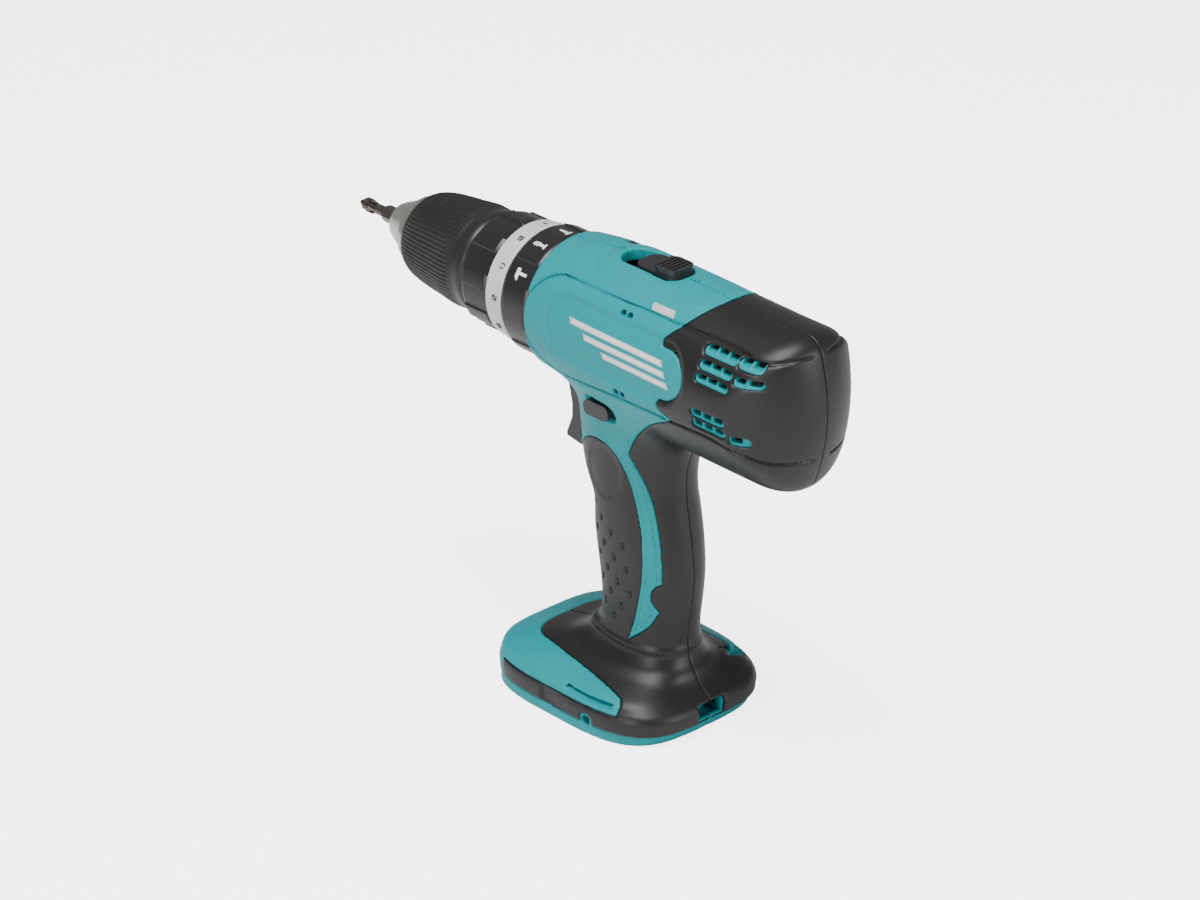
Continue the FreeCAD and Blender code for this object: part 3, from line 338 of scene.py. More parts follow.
# slots cut through skin and shell: rows of cooling slots, each with ribs left across it
vent_rows = [(-70.9, 182.5, 3), (-71.5, 177.7, 3), (-71.7, 173.0, 3), (-88.8, 182.6, 2), (-90.3, 177.0, 2),
             (-71.2, 159.0, 3), (-71.5, 154.6, 3), (-90.0, 153.0, 1)]
vent_pitch, vent_cell = 5.5, 4.3
small_vents = [(-24.2, 181.7), (-25.4, 151.0)]
vent_skin = np.full((len(grid_x), 1, len(grid_z)), 99.0)
vent_ribs = np.full((len(grid_x), 1, len(grid_z)), 99.0)
for vent_x, vent_z, cells in vent_rows:
    row_end = vent_x - cells * vent_pitch + 0.4 if cells > 1 else vent_x - 7.5
    vent_skin = np.minimum(vent_skin, capsule(gx, gz, vent_x - 1.0, vent_z, row_end + 1.2, vent_z, 1.75))
    for k in range(cells):
        near = vent_x - k * vent_pitch
        opening = block(gx, gz, near - vent_cell, near, vent_z - 0.6, vent_z + 1.7, 0.4)
        vent_ribs = np.minimum(vent_ribs, opening)
for vent_x, vent_z in small_vents:
    for k in range(2):
        near = vent_x - k * 3.7
        vent_ribs = np.minimum(vent_ribs, block(gx, gz, near - 2.7, near, vent_z - 1.1, vent_z + 1.1, 0.8))
vent_skin = np.maximum(vent_skin, 8 - gy)
vent_ribs = np.maximum(vent_ribs, 8 - gy)


def box_of(node):
    """Low and high corners of a CAD piece, in mm."""
    low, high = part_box(node)
    return np.array(low) / MM, np.array(high) / MM


trigger_low, trigger_high = box_of("trigger")
trigger_cut = block(gy, gz, -20, trigger_high[1] + 0.4, trigger_low[2] - 0.4, trigger_high[2] + 0.4, 1.0)
trigger_cut = np.maximum(trigger_cut, -6 - gx)
lever_low, lever_high = box_of("direction_lever")
lever_cut = block(gx, gz, lever_low[0] - 0.5, lever_high[0] + 0.5,
                  lever_low[2] - 0.5, lever_high[2] + 0.5, 3.0)
lever_dish = block(gx, gz, lever_low[0] - 1.6, lever_high[0] + 1.6,
                   lever_low[2] - 1.3, lever_high[2] + 1.3, 3.6)
knob_low, knob_high = box_of("speed_selector")
knob_travel = next(j for j in frame["joints"] if j["name"] == "speed_selector_slide")["range_m"][1] / MM
knob_cut = block(gx, gy, knob_low[0] - 0.5, knob_high[0] + knob_travel + 0.5, -20, knob_high[1] + 0.5, 6.0)
knob_cut = np.maximum(knob_cut, 188 - gz)
bay_cut = np.maximum(np.maximum(-38 - gx, gy - 31), gz - 13)
rail = np.maximum(block(gy, gz, 26.5, 33, 2.5, 6.0, 0.5), np.maximum(-30 - gx, gx - 34))
bay_cut = np.maximum(bay_cut, -rail)
throat_cut = np.maximum(np.maximum(block(gx, gy, -30, 4, -20, 11), gz - 30), -gz)
strap_window = np.maximum(gx + 46.4, np.abs(gz - 8.9) - 3.5)
strap_well = block(gx, gz, -46.6, -41.5, 4.6, 12.4)
strap_cut = np.maximum(gy - 7, np.minimum(strap_window, strap_well))
hook_cut = np.maximum(np.hypot(gx - hook_x, gz - hook_z) - 2.2, 31 - gy)
lamp_low, lamp_high = box_of("lamp_lens")
lamp_z = (lamp_low[2] + lamp_high[2]) / 2
lamp_cut = np.maximum(np.hypot(gy, gz - lamp_z) - 2.6, 11 - gx)
dot_field = np.full((len(grid_x), 1, len(grid_z)), 99.0)
for (dot_x, dot_z), dot_count in zip(grip_dot_starts, grip_dot_counts):
    for k in range(dot_count):
        at_x, at_z = dot_x + k * grip_dot_step[0], dot_z + k * grip_dot_step[1]
        dot_field = np.minimum(dot_field, capsule(gx, gz, at_x, at_z + 0.5, at_x, at_z - 0.5, 0.75))
dots = (0.9 * step_up(0.5 - dot_field / 0.8) * step_up((gy - 3) / 3)).astype(np.float32)
screw_places = [(5.0, 188.1, 10.5), (-64.0, 133.0, 13.0), (-96.0, 135.9, 9.5), (-31.5, 117.0, 10.0),
                (-16.0, 84.0, 11.5), (-14.0, 44.0, 11.5), (30.0, 16.3, 24.0), (-33.0, 17.2, 24.0)]
screw_cut = np.full((len(grid_x), len(grid_y), len(grid_z)), 99.0, np.float32)
for screw_x, screw_z, screw_depth in screw_places:
    hole = np.maximum(np.hypot(gx - screw_x, gz - screw_z) - 3.8, screw_depth - 2.2 - gy)
    hole = np.maximum(hole, 14.4 - gz)
    screw_cut = np.minimum(screw_cut, hole.astype(np.float32))


def skin_of_field(field):
    """Closed mesh where the field crosses 0: points (mm) and four-sided faces."""
    solid = field < 0
    corners = [(i, j, k) for i in (0, 1) for j in (0, 1) for k in (0, 1)]
    nx, ny, nz = (n - 1 for n in field.shape)
    count = sum(solid[i:i + nx, j:j + ny, k:k + nz].astype(np.uint8) for i, j, k in corners)
    used = (count > 0) & (count < 8)
    number = np.full(used.shape, -1, np.int32)
    number[used] = np.arange(used.sum(), dtype=np.int32)
    at = np.argwhere(used)
    total = np.zeros((len(at), 3))
    hits = np.zeros(len(at))
    for axis in range(3):
        for corner in corners:
            if corner[axis]:
                continue
            far = list(corner)
            far[axis] = 1
            a = field[tuple((at + corner).T)]
            b = field[tuple((at + far).T)]
            crossed = (a < 0) != (b < 0)
            share = np.where(crossed, a / np.where(crossed, a - b, 1), 0)
            spot = np.tile(np.array(corner, float), (len(at), 1))
            spot[:, axis] = share
            total += spot * crossed[:, None]
            hits += crossed
    points = at + total / hits[:, None]
    faces = []
    for axis in range(3):
        b_axis, c_axis = (axis + 1) % 3, (axis + 2) % 3
        first = np.moveaxis(solid, (axis, b_axis, c_axis), (0, 1, 2))
        cells = np.moveaxis(number, (axis, b_axis, c_axis), (0, 1, 2))
        flips = first[:-1, 1:-1, 1:-1] != first[1:, 1:-1, 1:-1]
        i, j, k = np.nonzero(flips)
        quad = np.stack([cells[i, j, k], cells[i, j + 1, k], cells[i, j + 1, k + 1], cells[i, j, k + 1]], 1)
        leaving = first[:-1, 1:-1, 1:-1][i, j, k]
        faces.append(np.where(leaving[:, None], quad, quad[:, ::-1]))
    return points * cell + (grid_x[0], grid_y[0], grid_z[0]), np.concatenate(faces)


def piece_from(points, faces, name, mirrored=False):
    """Smooth-shaded object in metres; the mirrored one is for the right-hand side."""
    if mirrored:
        points = points * (1, -1, 1)
        faces = faces[:, ::-1]
    mesh = bpy.data.meshes.new(name)
    mesh.vertices.add(len(points))
    mesh.vertices.foreach_set("co", (points * MM).astype(np.float32).ravel())
    mesh.loops.add(faces.size)
    mesh.loops.foreach_set("vertex_index", faces.astype(np.int32).ravel())
    mesh.polygons.add(len(faces))
    mesh.polygons.foreach_set("loop_start", np.arange(0, faces.size, faces.shape[1], dtype=np.int32))
    mesh.update(calc_edges=True)
    mesh.validate()
    mesh.shade_smooth()
    made = bpy.data.objects.new(name, mesh)
    scene.collection.objects.link(made)
    return made


parting = 0.04 - gy
edge = 0.7
slot_rise = (1.1 * step_up((0.9 - vent_skin) / 0.6)).astype(np.float32)
hard = round_max(outside, np.minimum(-soft, outside + skin_depth - slot_rise), edge)
hard = np.maximum(hard, -(form + np.where(gz < 26, 6.5, shell_depth)).astype(np.float32))
for cut in (trigger_cut, lever_cut, knob_cut, bay_cut, throat_cut, strap_cut, hook_cut, lamp_cut, vent_ribs):
    hard = round_max(hard, -cut, 0.5)
hard = round_max(hard, np.minimum(-lever_dish, outside + 1.0), 0.8)
hard = round_max(hard, parting, 0.3)
hard = np.where(np.abs(hard) < 1e-5, 1e-5, hard).astype(np.float32)
left_points, left_faces = skin_of_field(hard)
right_points, right_faces = skin_of_field(round_max(hard, -screw_cut, 0.5))
housing_left = piece_from(left_points, left_faces, "housing_left_shell")
housing_right = piece_from(right_points, right_faces, "housing_right_shell", True)


def node_group(name, inputs, outputs):
    """Empty shader group with numeric inputs {name: value} and outputs [name]."""
    tree = bpy.data.node_groups.new(name, "ShaderNodeTree")
    for label, value in inputs.items():
        socket = tree.interface.new_socket(label, in_out="INPUT", socket_type="NodeSocketFloat")
        socket.default_value = value
    for label in outputs:
        tree.interface.new_socket(label, in_out="OUTPUT", socket_type="NodeSocketFloat")
    return tree, tree.nodes.new("NodeGroupInput"), tree.nodes.new("NodeGroupOutput")


def math_node(tree, operation, a, b):
    """Math node; a and b are sockets or numbers."""
    node = tree.nodes.new("ShaderNodeMath")
    node.operation = operation
    for socket, value in zip(node.inputs, (a, b)):
        if isinstance(value, (int, float)):
            socket.default_value = value
        else:
            tree.links.new(value, socket)
    return node.outputs[0]


def noise_at(tree, scale, detail=3.0, roughness=0.55):
    """Noise fixed to the piece's own space; scale is a socket or a number."""
    place = tree.nodes.new("ShaderNodeTexCoord")
    noise = tree.nodes.new("ShaderNodeTexNoise")
    noise.inputs["Detail"].default_value = detail
    noise.inputs["Roughness"].default_value = roughness
    tree.links.new(place.outputs["Object"], noise.inputs["Vector"])
    if isinstance(scale, (int, float)):
        noise.inputs["Scale"].default_value = scale
    else:
        tree.links.new(scale, noise.inputs["Scale"])
    return noise.outputs["Fac"]


# fine moulded texture: two sizes of grain added together
grain_tree, grain_in, grain_out = node_group("moulded_grain", {"Scale": 2400.0, "Coarse share": 0.5},
                                             ["Height"])
fine = noise_at(grain_tree, grain_in.outputs["Scale"], 2.0)
coarse = noise_at(grain_tree, math_node(grain_tree, "MULTIPLY", grain_in.outputs["Scale"], 0.33), 2.0)
coarse = math_node(grain_tree, "MULTIPLY", coarse, grain_in.outputs["Coarse share"])
grain_tree.links.new(math_node(grain_tree, "ADD", fine, coarse), grain_out.inputs["Height"])

# rubbed edges: the outer corners, broken up by noise
wear_tree, wear_in, wear_out = node_group("rubbed_edges", {"Start": 0.56, "Amount": 0.5}, ["Mask"])
geometry = wear_tree.nodes.new("ShaderNodeNewGeometry")
rise = math_node(wear_tree, "SUBTRACT", geometry.outputs["Pointiness"], wear_in.outputs["Start"])
rise = math_node(wear_tree, "MULTIPLY", rise, 14.0)
broken = math_node(wear_tree, "MULTIPLY", rise, noise_at(wear_tree, 420.0))
strength = math_node(wear_tree, "MULTIPLY", broken, wear_in.outputs["Amount"])
clamped = wear_tree.nodes.new("ShaderNodeClamp")
wear_tree.links.new(strength, clamped.inputs["Value"])
wear_tree.links.new(clamped.outputs["Result"], wear_out.inputs["Mask"])

# painted shade: the colour is darkened at the bottom of seams and creases, where shade falls
crease_tree, crease_in, crease_out = node_group("painted_crease_shade", {"Start": 0.487, "Amount": 1.0}, ["Mask"])
hollow = crease_tree.nodes.new("ShaderNodeNewGeometry")
fall = math_node(crease_tree, "SUBTRACT", crease_in.outputs["Start"], hollow.outputs["Pointiness"])
fall = math_node(crease_tree, "MULTIPLY", fall, 26.0)
fall = math_node(crease_tree, "MULTIPLY", fall, crease_in.outputs["Amount"])
held = crease_tree.nodes.new("ShaderNodeClamp")
crease_tree.links.new(fall, held.inputs["Value"])
crease_tree.links.new(held.outputs["Result"], crease_out.inputs["Mask"])

# handling marks: broad soft patches from fingers and dust
patch_tree, patch_in, patch_out = node_group("handling_patches", {"Scale": 38.0}, ["Value"])
patch_tree.links.new(noise_at(patch_tree, patch_in.outputs["Scale"], 4.0, 0.6), patch_out.inputs["Value"])


def finish_material(name, colour, worn, roughness, grain_scale, grain_depth, metallic=0.0, wear=0.4,
                    patch=0.08, specular=0.5, crease=0.4):
    """Moulded or metal finish with grain, handling patches, rubbed edges and painted shade darkening the creases.
    """
    material = bpy.data.materials.new(name)
    material.use_nodes = True
    tree = material.node_tree
    shader = tree.nodes["Principled BSDF"]
    shader.inputs["Metallic"].default_value = metallic
    shader.inputs["Specular IOR Level"].default_value = specular

    def placed(group, **values):
        node = tree.nodes.new("ShaderNodeGroup")
        node.node_tree = group
        for label, value in values.items():
            node.inputs[label.replace("_", " ")].default_value = value
        return node.outputs[0]

    edges = placed(wear_tree, Amount=wear)
    patches = placed(patch_tree, Scale=38.0)
    grain = placed(grain_tree, Scale=grain_scale)
    mix = tree.nodes.new("ShaderNodeMix")
    mix.data_type = "RGBA"
    mix.inputs["A"].default_value = (*colour, 1)
    mix.inputs["B"].default_value = (*worn, 1)
    tree.links.new(edges, mix.inputs["Factor"])
    shade = tree.nodes.new("ShaderNodeHueSaturation")
    tree.links.new(mix.outputs["Result"], shade.inputs["Color"])
    value = math_node(tree, "ADD", math_node(tree, "MULTIPLY", patches, patch * 2), 1 - patch)
    # painted shade: the base colour is darkened where the surface curves inward, at the bottom of seams and
    # creases
    crease_shade = math_node(tree, "MULTIPLY", placed(crease_tree, Amount=1.0), crease)
    unshaded = math_node(tree, "SUBTRACT", 1.0, crease_shade)
    tree.links.new(math_node(tree, "MULTIPLY", value, unshaded), shade.inputs["Value"])
    tree.links.new(shade.outputs["Color"], shader.inputs["Base Color"])
    gloss = math_node(tree, "ADD", math_node(tree, "MULTIPLY", patches, 0.16), roughness - 0.08)
    tree.links.new(math_node(tree, "SUBTRACT", gloss, math_node(tree, "MULTIPLY", edges, 0.1)),
                   shader.inputs["Roughness"])
    bump = tree.nodes.new("ShaderNodeBump")
    bump.inputs["Strength"].default_value = 0.345
    bump.inputs["Distance"].default_value = grain_depth
    tree.links.new(grain, bump.inputs["Height"])
    tree.links.new(bump.outputs["Normal"], shader.inputs["Normal"])
    return material


teal = finish_material("teal_nylon", (0.0, 0.24, 0.265), (0.0, 0.3, 0.32), 0.44, 2600.0, 0.00006, wear=0.2,
                       specular=0.22, crease=0.75)
for shell, node in ((housing_left, "housing_left"), (housing_right, "housing_right")):
    thin = shell.modifiers.new("fewer_faces", "DECIMATE")
    thin.ratio = 0.46
    shell.data.materials.append(teal)
    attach(shell, "root")
    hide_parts(node)

# ---------------------------------------------------------------- soft grip skin
# Black thermoplastic rubber moulded over the rear of the motor housing, the
# handle and the foot; it keys into grooves in the shell, flush with the teal.
skin = round_max(outside + dots, soft, edge)
skin = np.maximum(skin, -(form + skin_depth - 0.05))
for cut in (trigger_cut, bay_cut, strap_cut, vent_skin, hook_cut):
    skin = round_max(skin, -cut, 0.6)
skin = round_max(skin, parting, 0.3)
skin = np.where(np.abs(skin) < 1e-5, 1e-5, skin).astype(np.float32)
left_points, left_faces = skin_of_field(skin)
right_points, right_faces = skin_of_field(round_max(skin, -screw_cut, 0.6))
rubber = finish_material("grip_rubber", (0.0085, 0.008, 0.0075), (0.028, 0.026, 0.024), 0.42, 2000.0, 0.00007,
                         wear=0.3, patch=0.2, specular=0.38, crease=0.7)
for side, points, faces in (("left", left_points, left_faces), ("right", right_points, right_faces)):
    shell = piece_from(points, faces, "grip_skin_%s_moulding" % side, side == "right")
    thin = shell.modifiers.new("fewer_faces", "DECIMATE")
    thin.ratio = 0.72
    shell.data.materials.append(rubber)
    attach(shell, "root")
    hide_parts("grip_skin_" + side)

# ---------------------------------------------------------------- chuck sleeve
# Black glass-filled nylon sleeve turned by hand to open the jaws: fine ribs
# run along it and stop short of a smooth band at the back.
angle_steps = 576


def turned_ring(name, profile, change, steps=angle_steps):
    """Ring round the spindle line from a closed (x, radius) profile; change() gives the change of radius."""
    around = np.linspace(0, 2 * np.pi, steps, endpoint=False)
    px = np.array([p[0] for p in profile])[:, None]
    pr = np.array([p[1] for p in profile])[:, None]
    r = pr + change(px, pr, around[None, :])
    points = np.stack([np.broadcast_to(px, r.shape), r * np.sin(around), spindle_z + r * np.cos(around)], 2)
    i, j = np.meshgrid(np.arange(len(profile)), np.arange(steps), indexing="ij")
    i2, j2 = (i + 1) % len(profile), (j + 1) % steps
    faces = np.stack([i * steps + j, i * steps + j2, i2 * steps + j2, i2 * steps + j], 2).reshape(-1, 4)
    return piece_from(points.reshape(-1, 3), faces, name)


def spaced(corners, pitch):
    """Points at about that pitch along the straight runs between (x, radius) corners."""
    points = []
    for (x0, r0), (x1, r1) in zip(corners, corners[1:]):
        count = max(1, int(math.hypot(x1 - x0, r1 - r0) / pitch))
        points += [(x0 + (x1 - x0) * k / count, r0 + (r1 - r0) * k / count) for k in range(count)]
    return points + [corners[-1]]


sleeve_low, sleeve_high = box_of("chuck_sleeve")
sleeve_rear, sleeve_front = sleeve_low[0], sleeve_high[0]
sleeve_radius, sleeve_mouth = sleeve_high[1], 16.15
sleeve_ribs, rib_height, rib_start = 72, 0.42, 8.6
sleeve_bore = 18.7


def sleeve_curve(x):
    """Radius of the sleeve's outside before the ribs are cut."""
    line = [(0, -0.9), (1.0, -0.35), (7.8, -0.3), (9.0, 0.0), (23, -0.7), (31, -1.5), (36, -2.3),
            (39.5, -3.2),
            (42.0, -4.4), (43.0, -5.3)]
    return sleeve_radius + curve_through(line, 1, x - sleeve_rear)


def sleeve_change(x, radius, angle):
    along = x - sleeve_rear
    grip = step_up((along - rib_start) / 0.8) * step_up((sleeve_front - 1.6 - x) / 2.5)
    grip = grip * (radius > sleeve_mouth + 0.1)
    return -rib_height * grip * (0.5 - 0.5 * np.cos(sleeve_ribs * angle)) ** 0.7


outside_line = [(x, float(sleeve_curve(np.array(x)))) for x in np.arange(sleeve_rear, sleeve_front - 0.2,
                                                                         0.6)]
sleeve_profile = outside_line + [(sleeve_front, sleeve_radius - 5.35), (sleeve_front, sleeve_mouth),
                                 (sleeve_front - 6.5, sleeve_mouth), (sleeve_front - 8.0, sleeve_bore),
                                 (sleeve_rear + 0.3, sleeve_bore), (sleeve_rear, sleeve_bore + 0.4)]
sleeve = turned_ring("chuck_sleeve_grip", sleeve_profile, sleeve_change)
sleeve_black = finish_material("sleeve_nylon", (0.0125, 0.012, 0.0115), (0.035, 0.033, 0.031),
                               0.4, 2600.0, 0.00004,
                               wear=0.35, patch=0.15, specular=0.42)
sleeve.data.materials.append(sleeve_black)
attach(sleeve, "sleeve")
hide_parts("chuck_sleeve")

# ---------------------------------------------------------------- mode ring and torque ring
# Moulded black nylon collars with raised finger lands. The rear one picks
# screw, drill or hammer; the front one sets the clutch.
land_height = 0.75


def lands(count, width_deg, centre_deg, low_x, high_x):
    """Radius change of raised lands round a ring, with rounded shoulders."""
    def change(x, radius, angle):
        turn_deg = np.degrees(angle) - centre_deg
        period = 360.0 / count
        off = np.abs((turn_deg + period / 2) % period - period / 2)
        across = step_up((width_deg / 2 - off) / 1.1)
        along = step_up((x - low_x) / 0.7) * step_up((high_x - x) / 0.7)
        return -land_height * (1 - across * along) * (radius > bore_limit)
    return change


mode_low, mode_high = box_of("mode_ring")
torque_low, torque_high = box_of("torque_ring")
ring_specs = [("mode_ring", mode_low[0], mode_high[0], mode_high[1], 22.05, 6, 38.2, 24.5),
              ("torque_ring", torque_low[0], torque_high[0], torque_high[1], 22.0, 9, 17.5, -1.5)]
ring_black = finish_material("ring_nylon", (0.0115, 0.0112, 0.011), (0.035, 0.034, 0.033),
                             0.34, 2400.0, 0.00004,
                             wear=0.35, patch=0.15, specular=0.45)
for ring_name, rear, front, radius, bore, count, width_deg, centre_deg in ring_specs:
    bore_limit = bore + 0.5
    round_over = [(0.0, -1.0), (0.15, -0.55), (0.5, -0.2), (1.0, 0.0)]
    shoulder = [(rear + d, radius + dr) for d, dr in round_over]
    nose = [(front - d, radius + dr) for d, dr in reversed(round_over)]
    if ring_name == "torque_ring":
        nose = [(front - 2.6, radius), (front - 1.6, radius - 0.3), (front - 0.7, radius - 1.0),
                (front, radius - 2.0)]
    corners = shoulder + nose + [(front, bore), (rear, bore)]
    ring_made = turned_ring(ring_name + "_collar", spaced(corners, 0.7),
                            lands(count, width_deg, centre_deg, rear + 1.2, front - 1.2), 720)
    ring_made.data.materials.append(ring_black)
    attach(ring_made, ring_name)
    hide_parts(ring_name)

# ---------------------------------------------------------------- markings
# Pad-printed white signs on the rings and plain white stripes on the body;
# the numbers beside the speed knob and on the scale are moulded or printed.
print_rise, print_sink = 0.09, 0.25
white_print = finish_material("white_print", (0.82, 0.82, 0.8), (0.6, 0.6, 0.58),
                              0.45, 2400.0, 0.00002, wear=0.2)
dark_print = finish_material("dark_print", (0.03, 0.035, 0.04), (0.1, 0.1, 0.1),
                             0.45, 2400.0, 0.00002, wear=0.2)


def bar(u0, v0, u1, v1, width):
    """Flat bar between two points, as four corners."""
    length = math.hypot(u1 - u0, v1 - v0)
    nu, nv = -(v1 - v0) / length * width / 2, (u1 - u0) / length * width / 2
    return [(u0 + nu, v0 + nv), (u0 - nu, v0 - nv), (u1 - nu, v1 - nv), (u1 + nu, v1 + nv)]


def printed_marks(name, quads, lay, rise=print_rise):
    """Thin closed plates: four-cornered shapes divided finely and laid on a surface by lay(u, v, height)."""
    points, faces = [], []
    for quad in quads:
        a, b, c, d = (np.array(p, float) for p in quad)
        nu = max(1, int(max(np.linalg.norm(b - a), np.linalg.norm(c - d)) / 0.8))
        nv = max(1, int(max(np.linalg.norm(d - a), np.linalg.norm(c - b)) / 0.8))
        start = len(points)
        for height in (rise, -print_sink):
            for i in range(nu + 1):
                for j in range(nv + 1):
                    s, t = i / nu, j / nv
                    u, v = (a * (1 - s) + b * s) * (1 - t) + (d * (1 - s) + c * s) * t
                    points.append(lay(u, v, height))
        row, layer = nv + 1, (nu + 1) * (nv + 1)

        def at(i, j, k):
            return start + k * layer + i * row + j

        for i in range(nu):
            for j in range(nv):
                faces.append((at(i, j, 0), at(i + 1, j, 0), at(i + 1, j + 1, 0), at(i, j + 1, 0)))
                faces.append((at(i, j + 1, 1), at(i + 1, j + 1, 1), at(i + 1, j, 1), at(i, j, 1)))
        for i in range(nu):
            faces.append((at(i, 0, 1), at(i + 1, 0, 1), at(i + 1, 0, 0), at(i, 0, 0)))
            faces.append((at(i, nv, 0), at(i + 1, nv, 0), at(i + 1, nv, 1), at(i, nv, 1)))
        for j in range(nv):
            faces.append((at(0, j, 0), at(0, j + 1, 0), at(0, j + 1, 1), at(0, j, 1)))
            faces.append((at(nu, j, 1), at(nu, j + 1, 1), at(nu, j + 1, 0), at(nu, j, 0)))
    made = piece_from(np.array(points), np.array(faces), name)
    made.data.shade_flat()
    return made


def on_ring(centre_x, centre_deg, radius):
    """Lays marks on a ring: u forward along the spindle, v round towards the left side."""
    def lay(u, v, height):
        angle = math.radians(centre_deg) + v / radius
        r = radius + height
        return (centre_x + u, r * math.sin(angle), spindle_z + r * math.cos(angle))
    return lay


mode_x = (mode_low[0] + mode_high[0]) / 2
land_top, land_foot = mode_high[1], mode_high[1] - land_height
hammer = [bar(1.9, -1.9, 1.9, 2.1, 1.9), bar(-3.0, 0.1, 1.2, 0.1, 1.2), bar(2.2, 2.0, 1.2, 3.0, 0.9)]
drill_bit = [bar(-2.6, 0, 0.4, 0, 1.3), bar(0.2, -1.1, 1.2, 1.1, 0.7), bar(1.3, -1.1, 2.3, 1.1, 0.7),
             bar(2.4, -0.9, 3.2, 0.7, 0.7), bar(-2.8, -1.3, -2.8, 1.3, 0.9)]
screw_sign = [bar(-2.4, -1.7, -2.4, 1.7, 1.0), bar(-1.9, 0, 2.6, 0, 0.8), bar(-0.9, -1.0, -0.5, 1.0, 0.5),
              bar(0.3, -0.9, 0.7, 0.9, 0.5), bar(1.4, -0.7, 1.8, 0.7, 0.5)]
signs = [("hammer_sign", hammer, 54.9, land_foot), ("drill_sign", drill_bit, 24.9, land_top),
         ("screw_sign", screw_sign, -3.7, land_foot)]
for sign_name, quads, sign_deg, sign_radius in signs:
    sign = printed_marks(sign_name, quads, on_ring(mode_x, sign_deg, sign_radius))
    sign.data.materials.append(white_print)
    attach(sign, "mode_ring")

# numbers are drawn with the seven strokes of a counter digit
strokes = {"a": (0, 2, 1, 2), "b": (1, 1, 1, 2), "c": (1, 0, 1, 1), "d": (0, 0, 1, 0), "e": (0, 0, 0, 1),
           "f": (0, 1, 0, 2), "g": (0, 1, 1, 1)}
digit_strokes = {"1": "bc", "2": "abged", "3": "abgcd", "5": "afgcd", "7": "abc", "9": "abcdfg"}


def number_marks(text, height, thick):
    """Strokes of a small number, centred, read with up towards -u."""
    wide, quads = height * 0.5, []
    total = len(text) * wide * 1.6
    for k, digit in enumerate(text):
        for label in digit_strokes[digit]:
            x0, y0, x1, y1 = strokes[label]
            left = k * wide * 1.6 - total / 2 + 0.3 * wide
            u0, u1 = (1 - y0) * height / 2, (1 - y1) * height / 2
            quads.append(bar(u0, -(left + x0 * wide), u1, -(left + x1 * wide), thick))
    return quads


band_low, band_high = box_of("scale_band")
band_x, band_radius = (band_low[0] + band_high[0]) / 2, band_high[1] - 0.05
for k, text in enumerate(("1", "2", "3", "5", "7", "9", "11", "12", "13", "15", "17", "19")):
    scale_number = printed_marks("scale_number_%d" % (k + 1), number_marks(text, 2.3, 0.42),
                                 on_ring(band_x - 1.6, -3.3 - 30 * k, band_radius))
    scale_number.data.materials.append(dark_print)
    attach(scale_number, "torque_ring")


def body_side(x, z):
    """Half width of the finished body surface at a point of its side."""
    i = int(round((x - grid_x[0]) / cell))
    k = int(round((z - grid_z[0]) / cell))
    column = outside[i, :, k]
    last = int(np.max(np.nonzero(column < 0)))
    return grid_y[last] + cell * column[last] / (column[last] - column[last + 1])


def on_side(centre_x, centre_z):
    """Lays marks on the left side of the body: u forward, v up."""
    def lay(u, v, height):
        return (centre_x + u, body_side(centre_x + u, centre_z + v) + height, centre_z + v)
    return lay


def stripe(rear_u, front_u, low_v, high_v, slant=0.55):
    lean = (high_v - low_v) * slant
    return [(rear_u, low_v), (front_u - lean, low_v), (front_u, high_v), (rear_u + lean, high_v)]


body_stripes = [stripe(-29.0, 25.0, 2.0, 4.4), stripe(-31.2, 16.0, -1.9, 0.5), stripe(-33.4, 5.0, -5.8, -3.4)]
small_bar = [stripe(-6.0, 7.0, -0.9, 0.9, 0.8)]
for mark_name, quads, mark_x, mark_z in (("body_stripes", body_stripes, -24.0, 168.4),
                                         ("upper_bar", small_bar, -43.0, 187.2)):
    mark = printed_marks(mark_name, quads, on_side(mark_x, mark_z))
    mark.data.materials.append(white_print)
    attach(mark, "root")

def on_top(centre_x, centre_y):
    """Lays marks on the top of the body: u forward, v to the left."""
    def lay(u, v, height):
        i = int(round((centre_x + u - grid_x[0]) / cell))
        j = int(round((abs(centre_y + v) - grid_y[0]) / cell))
        column = outside[i, j, :]
        last = int(np.max(np.nonzero(column < 0)))
        top = grid_z[last] + cell * column[last] / (column[last] - column[last + 1])
        return (centre_x + u, centre_y + v, top + height)
    return lay


for text, number_x in (("1", knob_high[0] + knob_travel + 4.5), ("2", knob_low[0] - 4.5)):
    gear_number = printed_marks("gear_number_" + text, number_marks(text, 3.4, 0.6),
                                on_top(number_x, 0.0), 0.3)
    gear_number.data.materials.append(teal)
    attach(gear_number, "root")

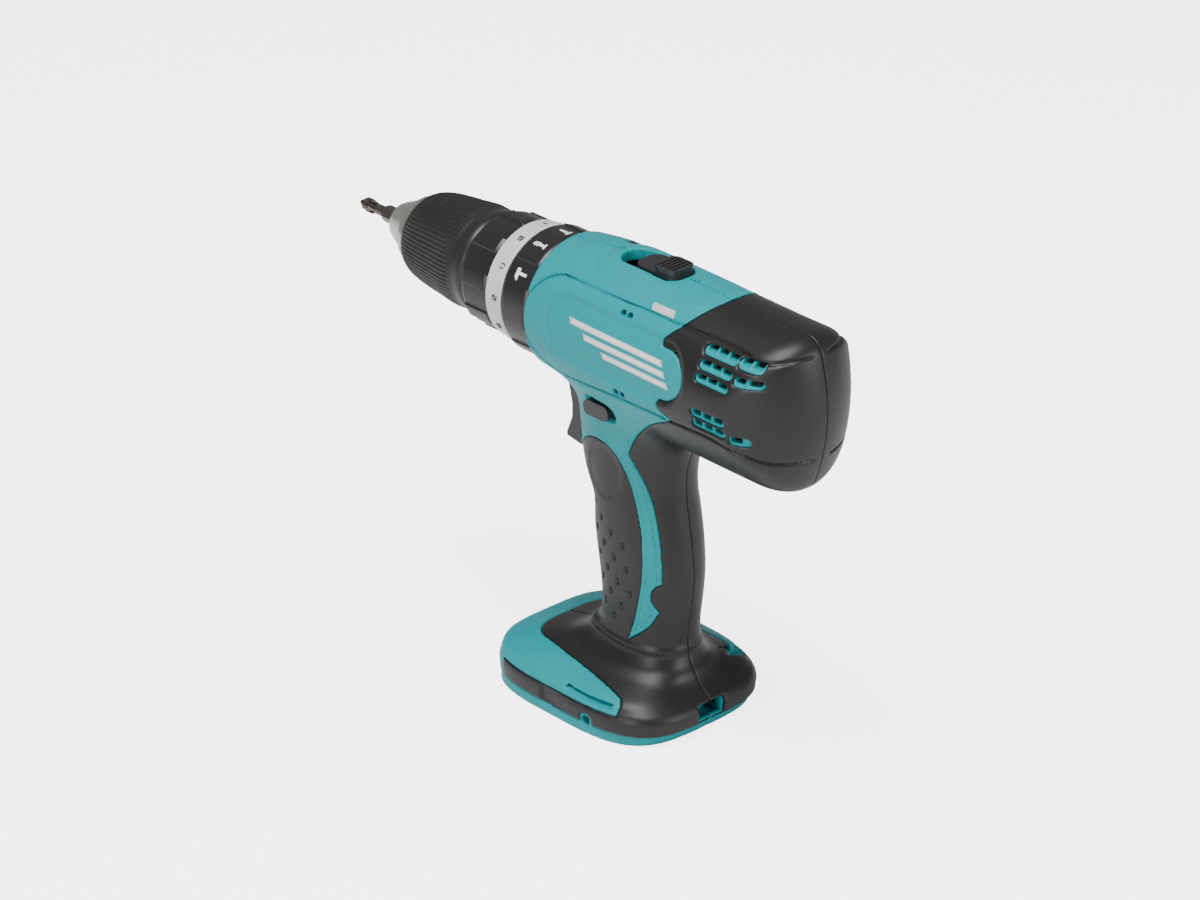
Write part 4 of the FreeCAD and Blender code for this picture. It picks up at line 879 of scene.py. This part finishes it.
# ---------------------------------------------------------------- metals, wires and other inner pieces
# Everything made in the CAD model that is left as it is: gear train, motor,
# chuck metal, screws, switch, wiring. Each gets the finish of its stock.
stock = {
    "zinc_steel": ((0.55, 0.56, 0.58), (0.7, 0.7, 0.7), 0.34, 1.0),
    "bright_steel": ((0.66, 0.64, 0.6), (0.8, 0.78, 0.75), 0.2, 1.0),
    "cast_aluminium": ((0.5, 0.5, 0.52), (0.7, 0.7, 0.7), 0.5, 1.0),
    "sintered_steel": ((0.3, 0.3, 0.31), (0.5, 0.5, 0.5), 0.45, 1.0),
    "dark_steel": ((0.16, 0.145, 0.13), (0.4, 0.38, 0.35), 0.32, 1.0),
    "spring_steel": ((0.4, 0.39, 0.37), (0.6, 0.6, 0.6), 0.3, 1.0),
    "copper": ((0.75, 0.36, 0.2), (0.9, 0.6, 0.45), 0.3, 1.0),
    "magnet": ((0.07, 0.07, 0.075), (0.2, 0.2, 0.2), 0.6, 0.3),
    "carbon": ((0.03, 0.03, 0.03), (0.1, 0.1, 0.1), 0.55, 0.0),
    "white_nylon": ((0.7, 0.7, 0.66), (0.8, 0.8, 0.78), 0.45, 0.0),
    "wire_sheath": ((0.3, 0.02, 0.02), (0.4, 0.1, 0.1), 0.45, 0.0),
    "black_plastic": ((0.012, 0.012, 0.013), (0.05, 0.05, 0.05), 0.36, 0.0),
    "pale_plastic": ((0.55, 0.56, 0.55), (0.65, 0.65, 0.64), 0.36, 0.0),
    "clear_lens": ((0.9, 0.9, 0.9), (1, 1, 1), 0.1, 0.0),
    "teal_plastic": ((0.0, 0.25, 0.275), (0.02, 0.34, 0.36), 0.4, 0.0),
    "black_grip": ((0.013, 0.0125, 0.012), (0.04, 0.04, 0.04), 0.5, 0.0),
}
finishes = {}
for stock_name, (colour, worn, roughness, metallic) in stock.items():
    finishes[stock_name] = finish_material(stock_name, colour, worn, roughness, 1800.0, 0.00003,
                                           metallic=metallic)
slot_of = {row["node"]: row["material_slot"] for row in frame["record"]["subparts"]}
finishes["black_zinc"] = finish_material("black_zinc", (0.09, 0.09, 0.095), (0.35, 0.35, 0.35),
                                         0.38, 1800.0, 0.00003,
                                         metallic=1.0)
slot_of["housing_screws"] = "black_zinc"
for node, cad_piece in frame["nodes"].items():
    cad_piece.data.materials.clear()
    cad_piece.data.materials.append(finishes[slot_of[node]])
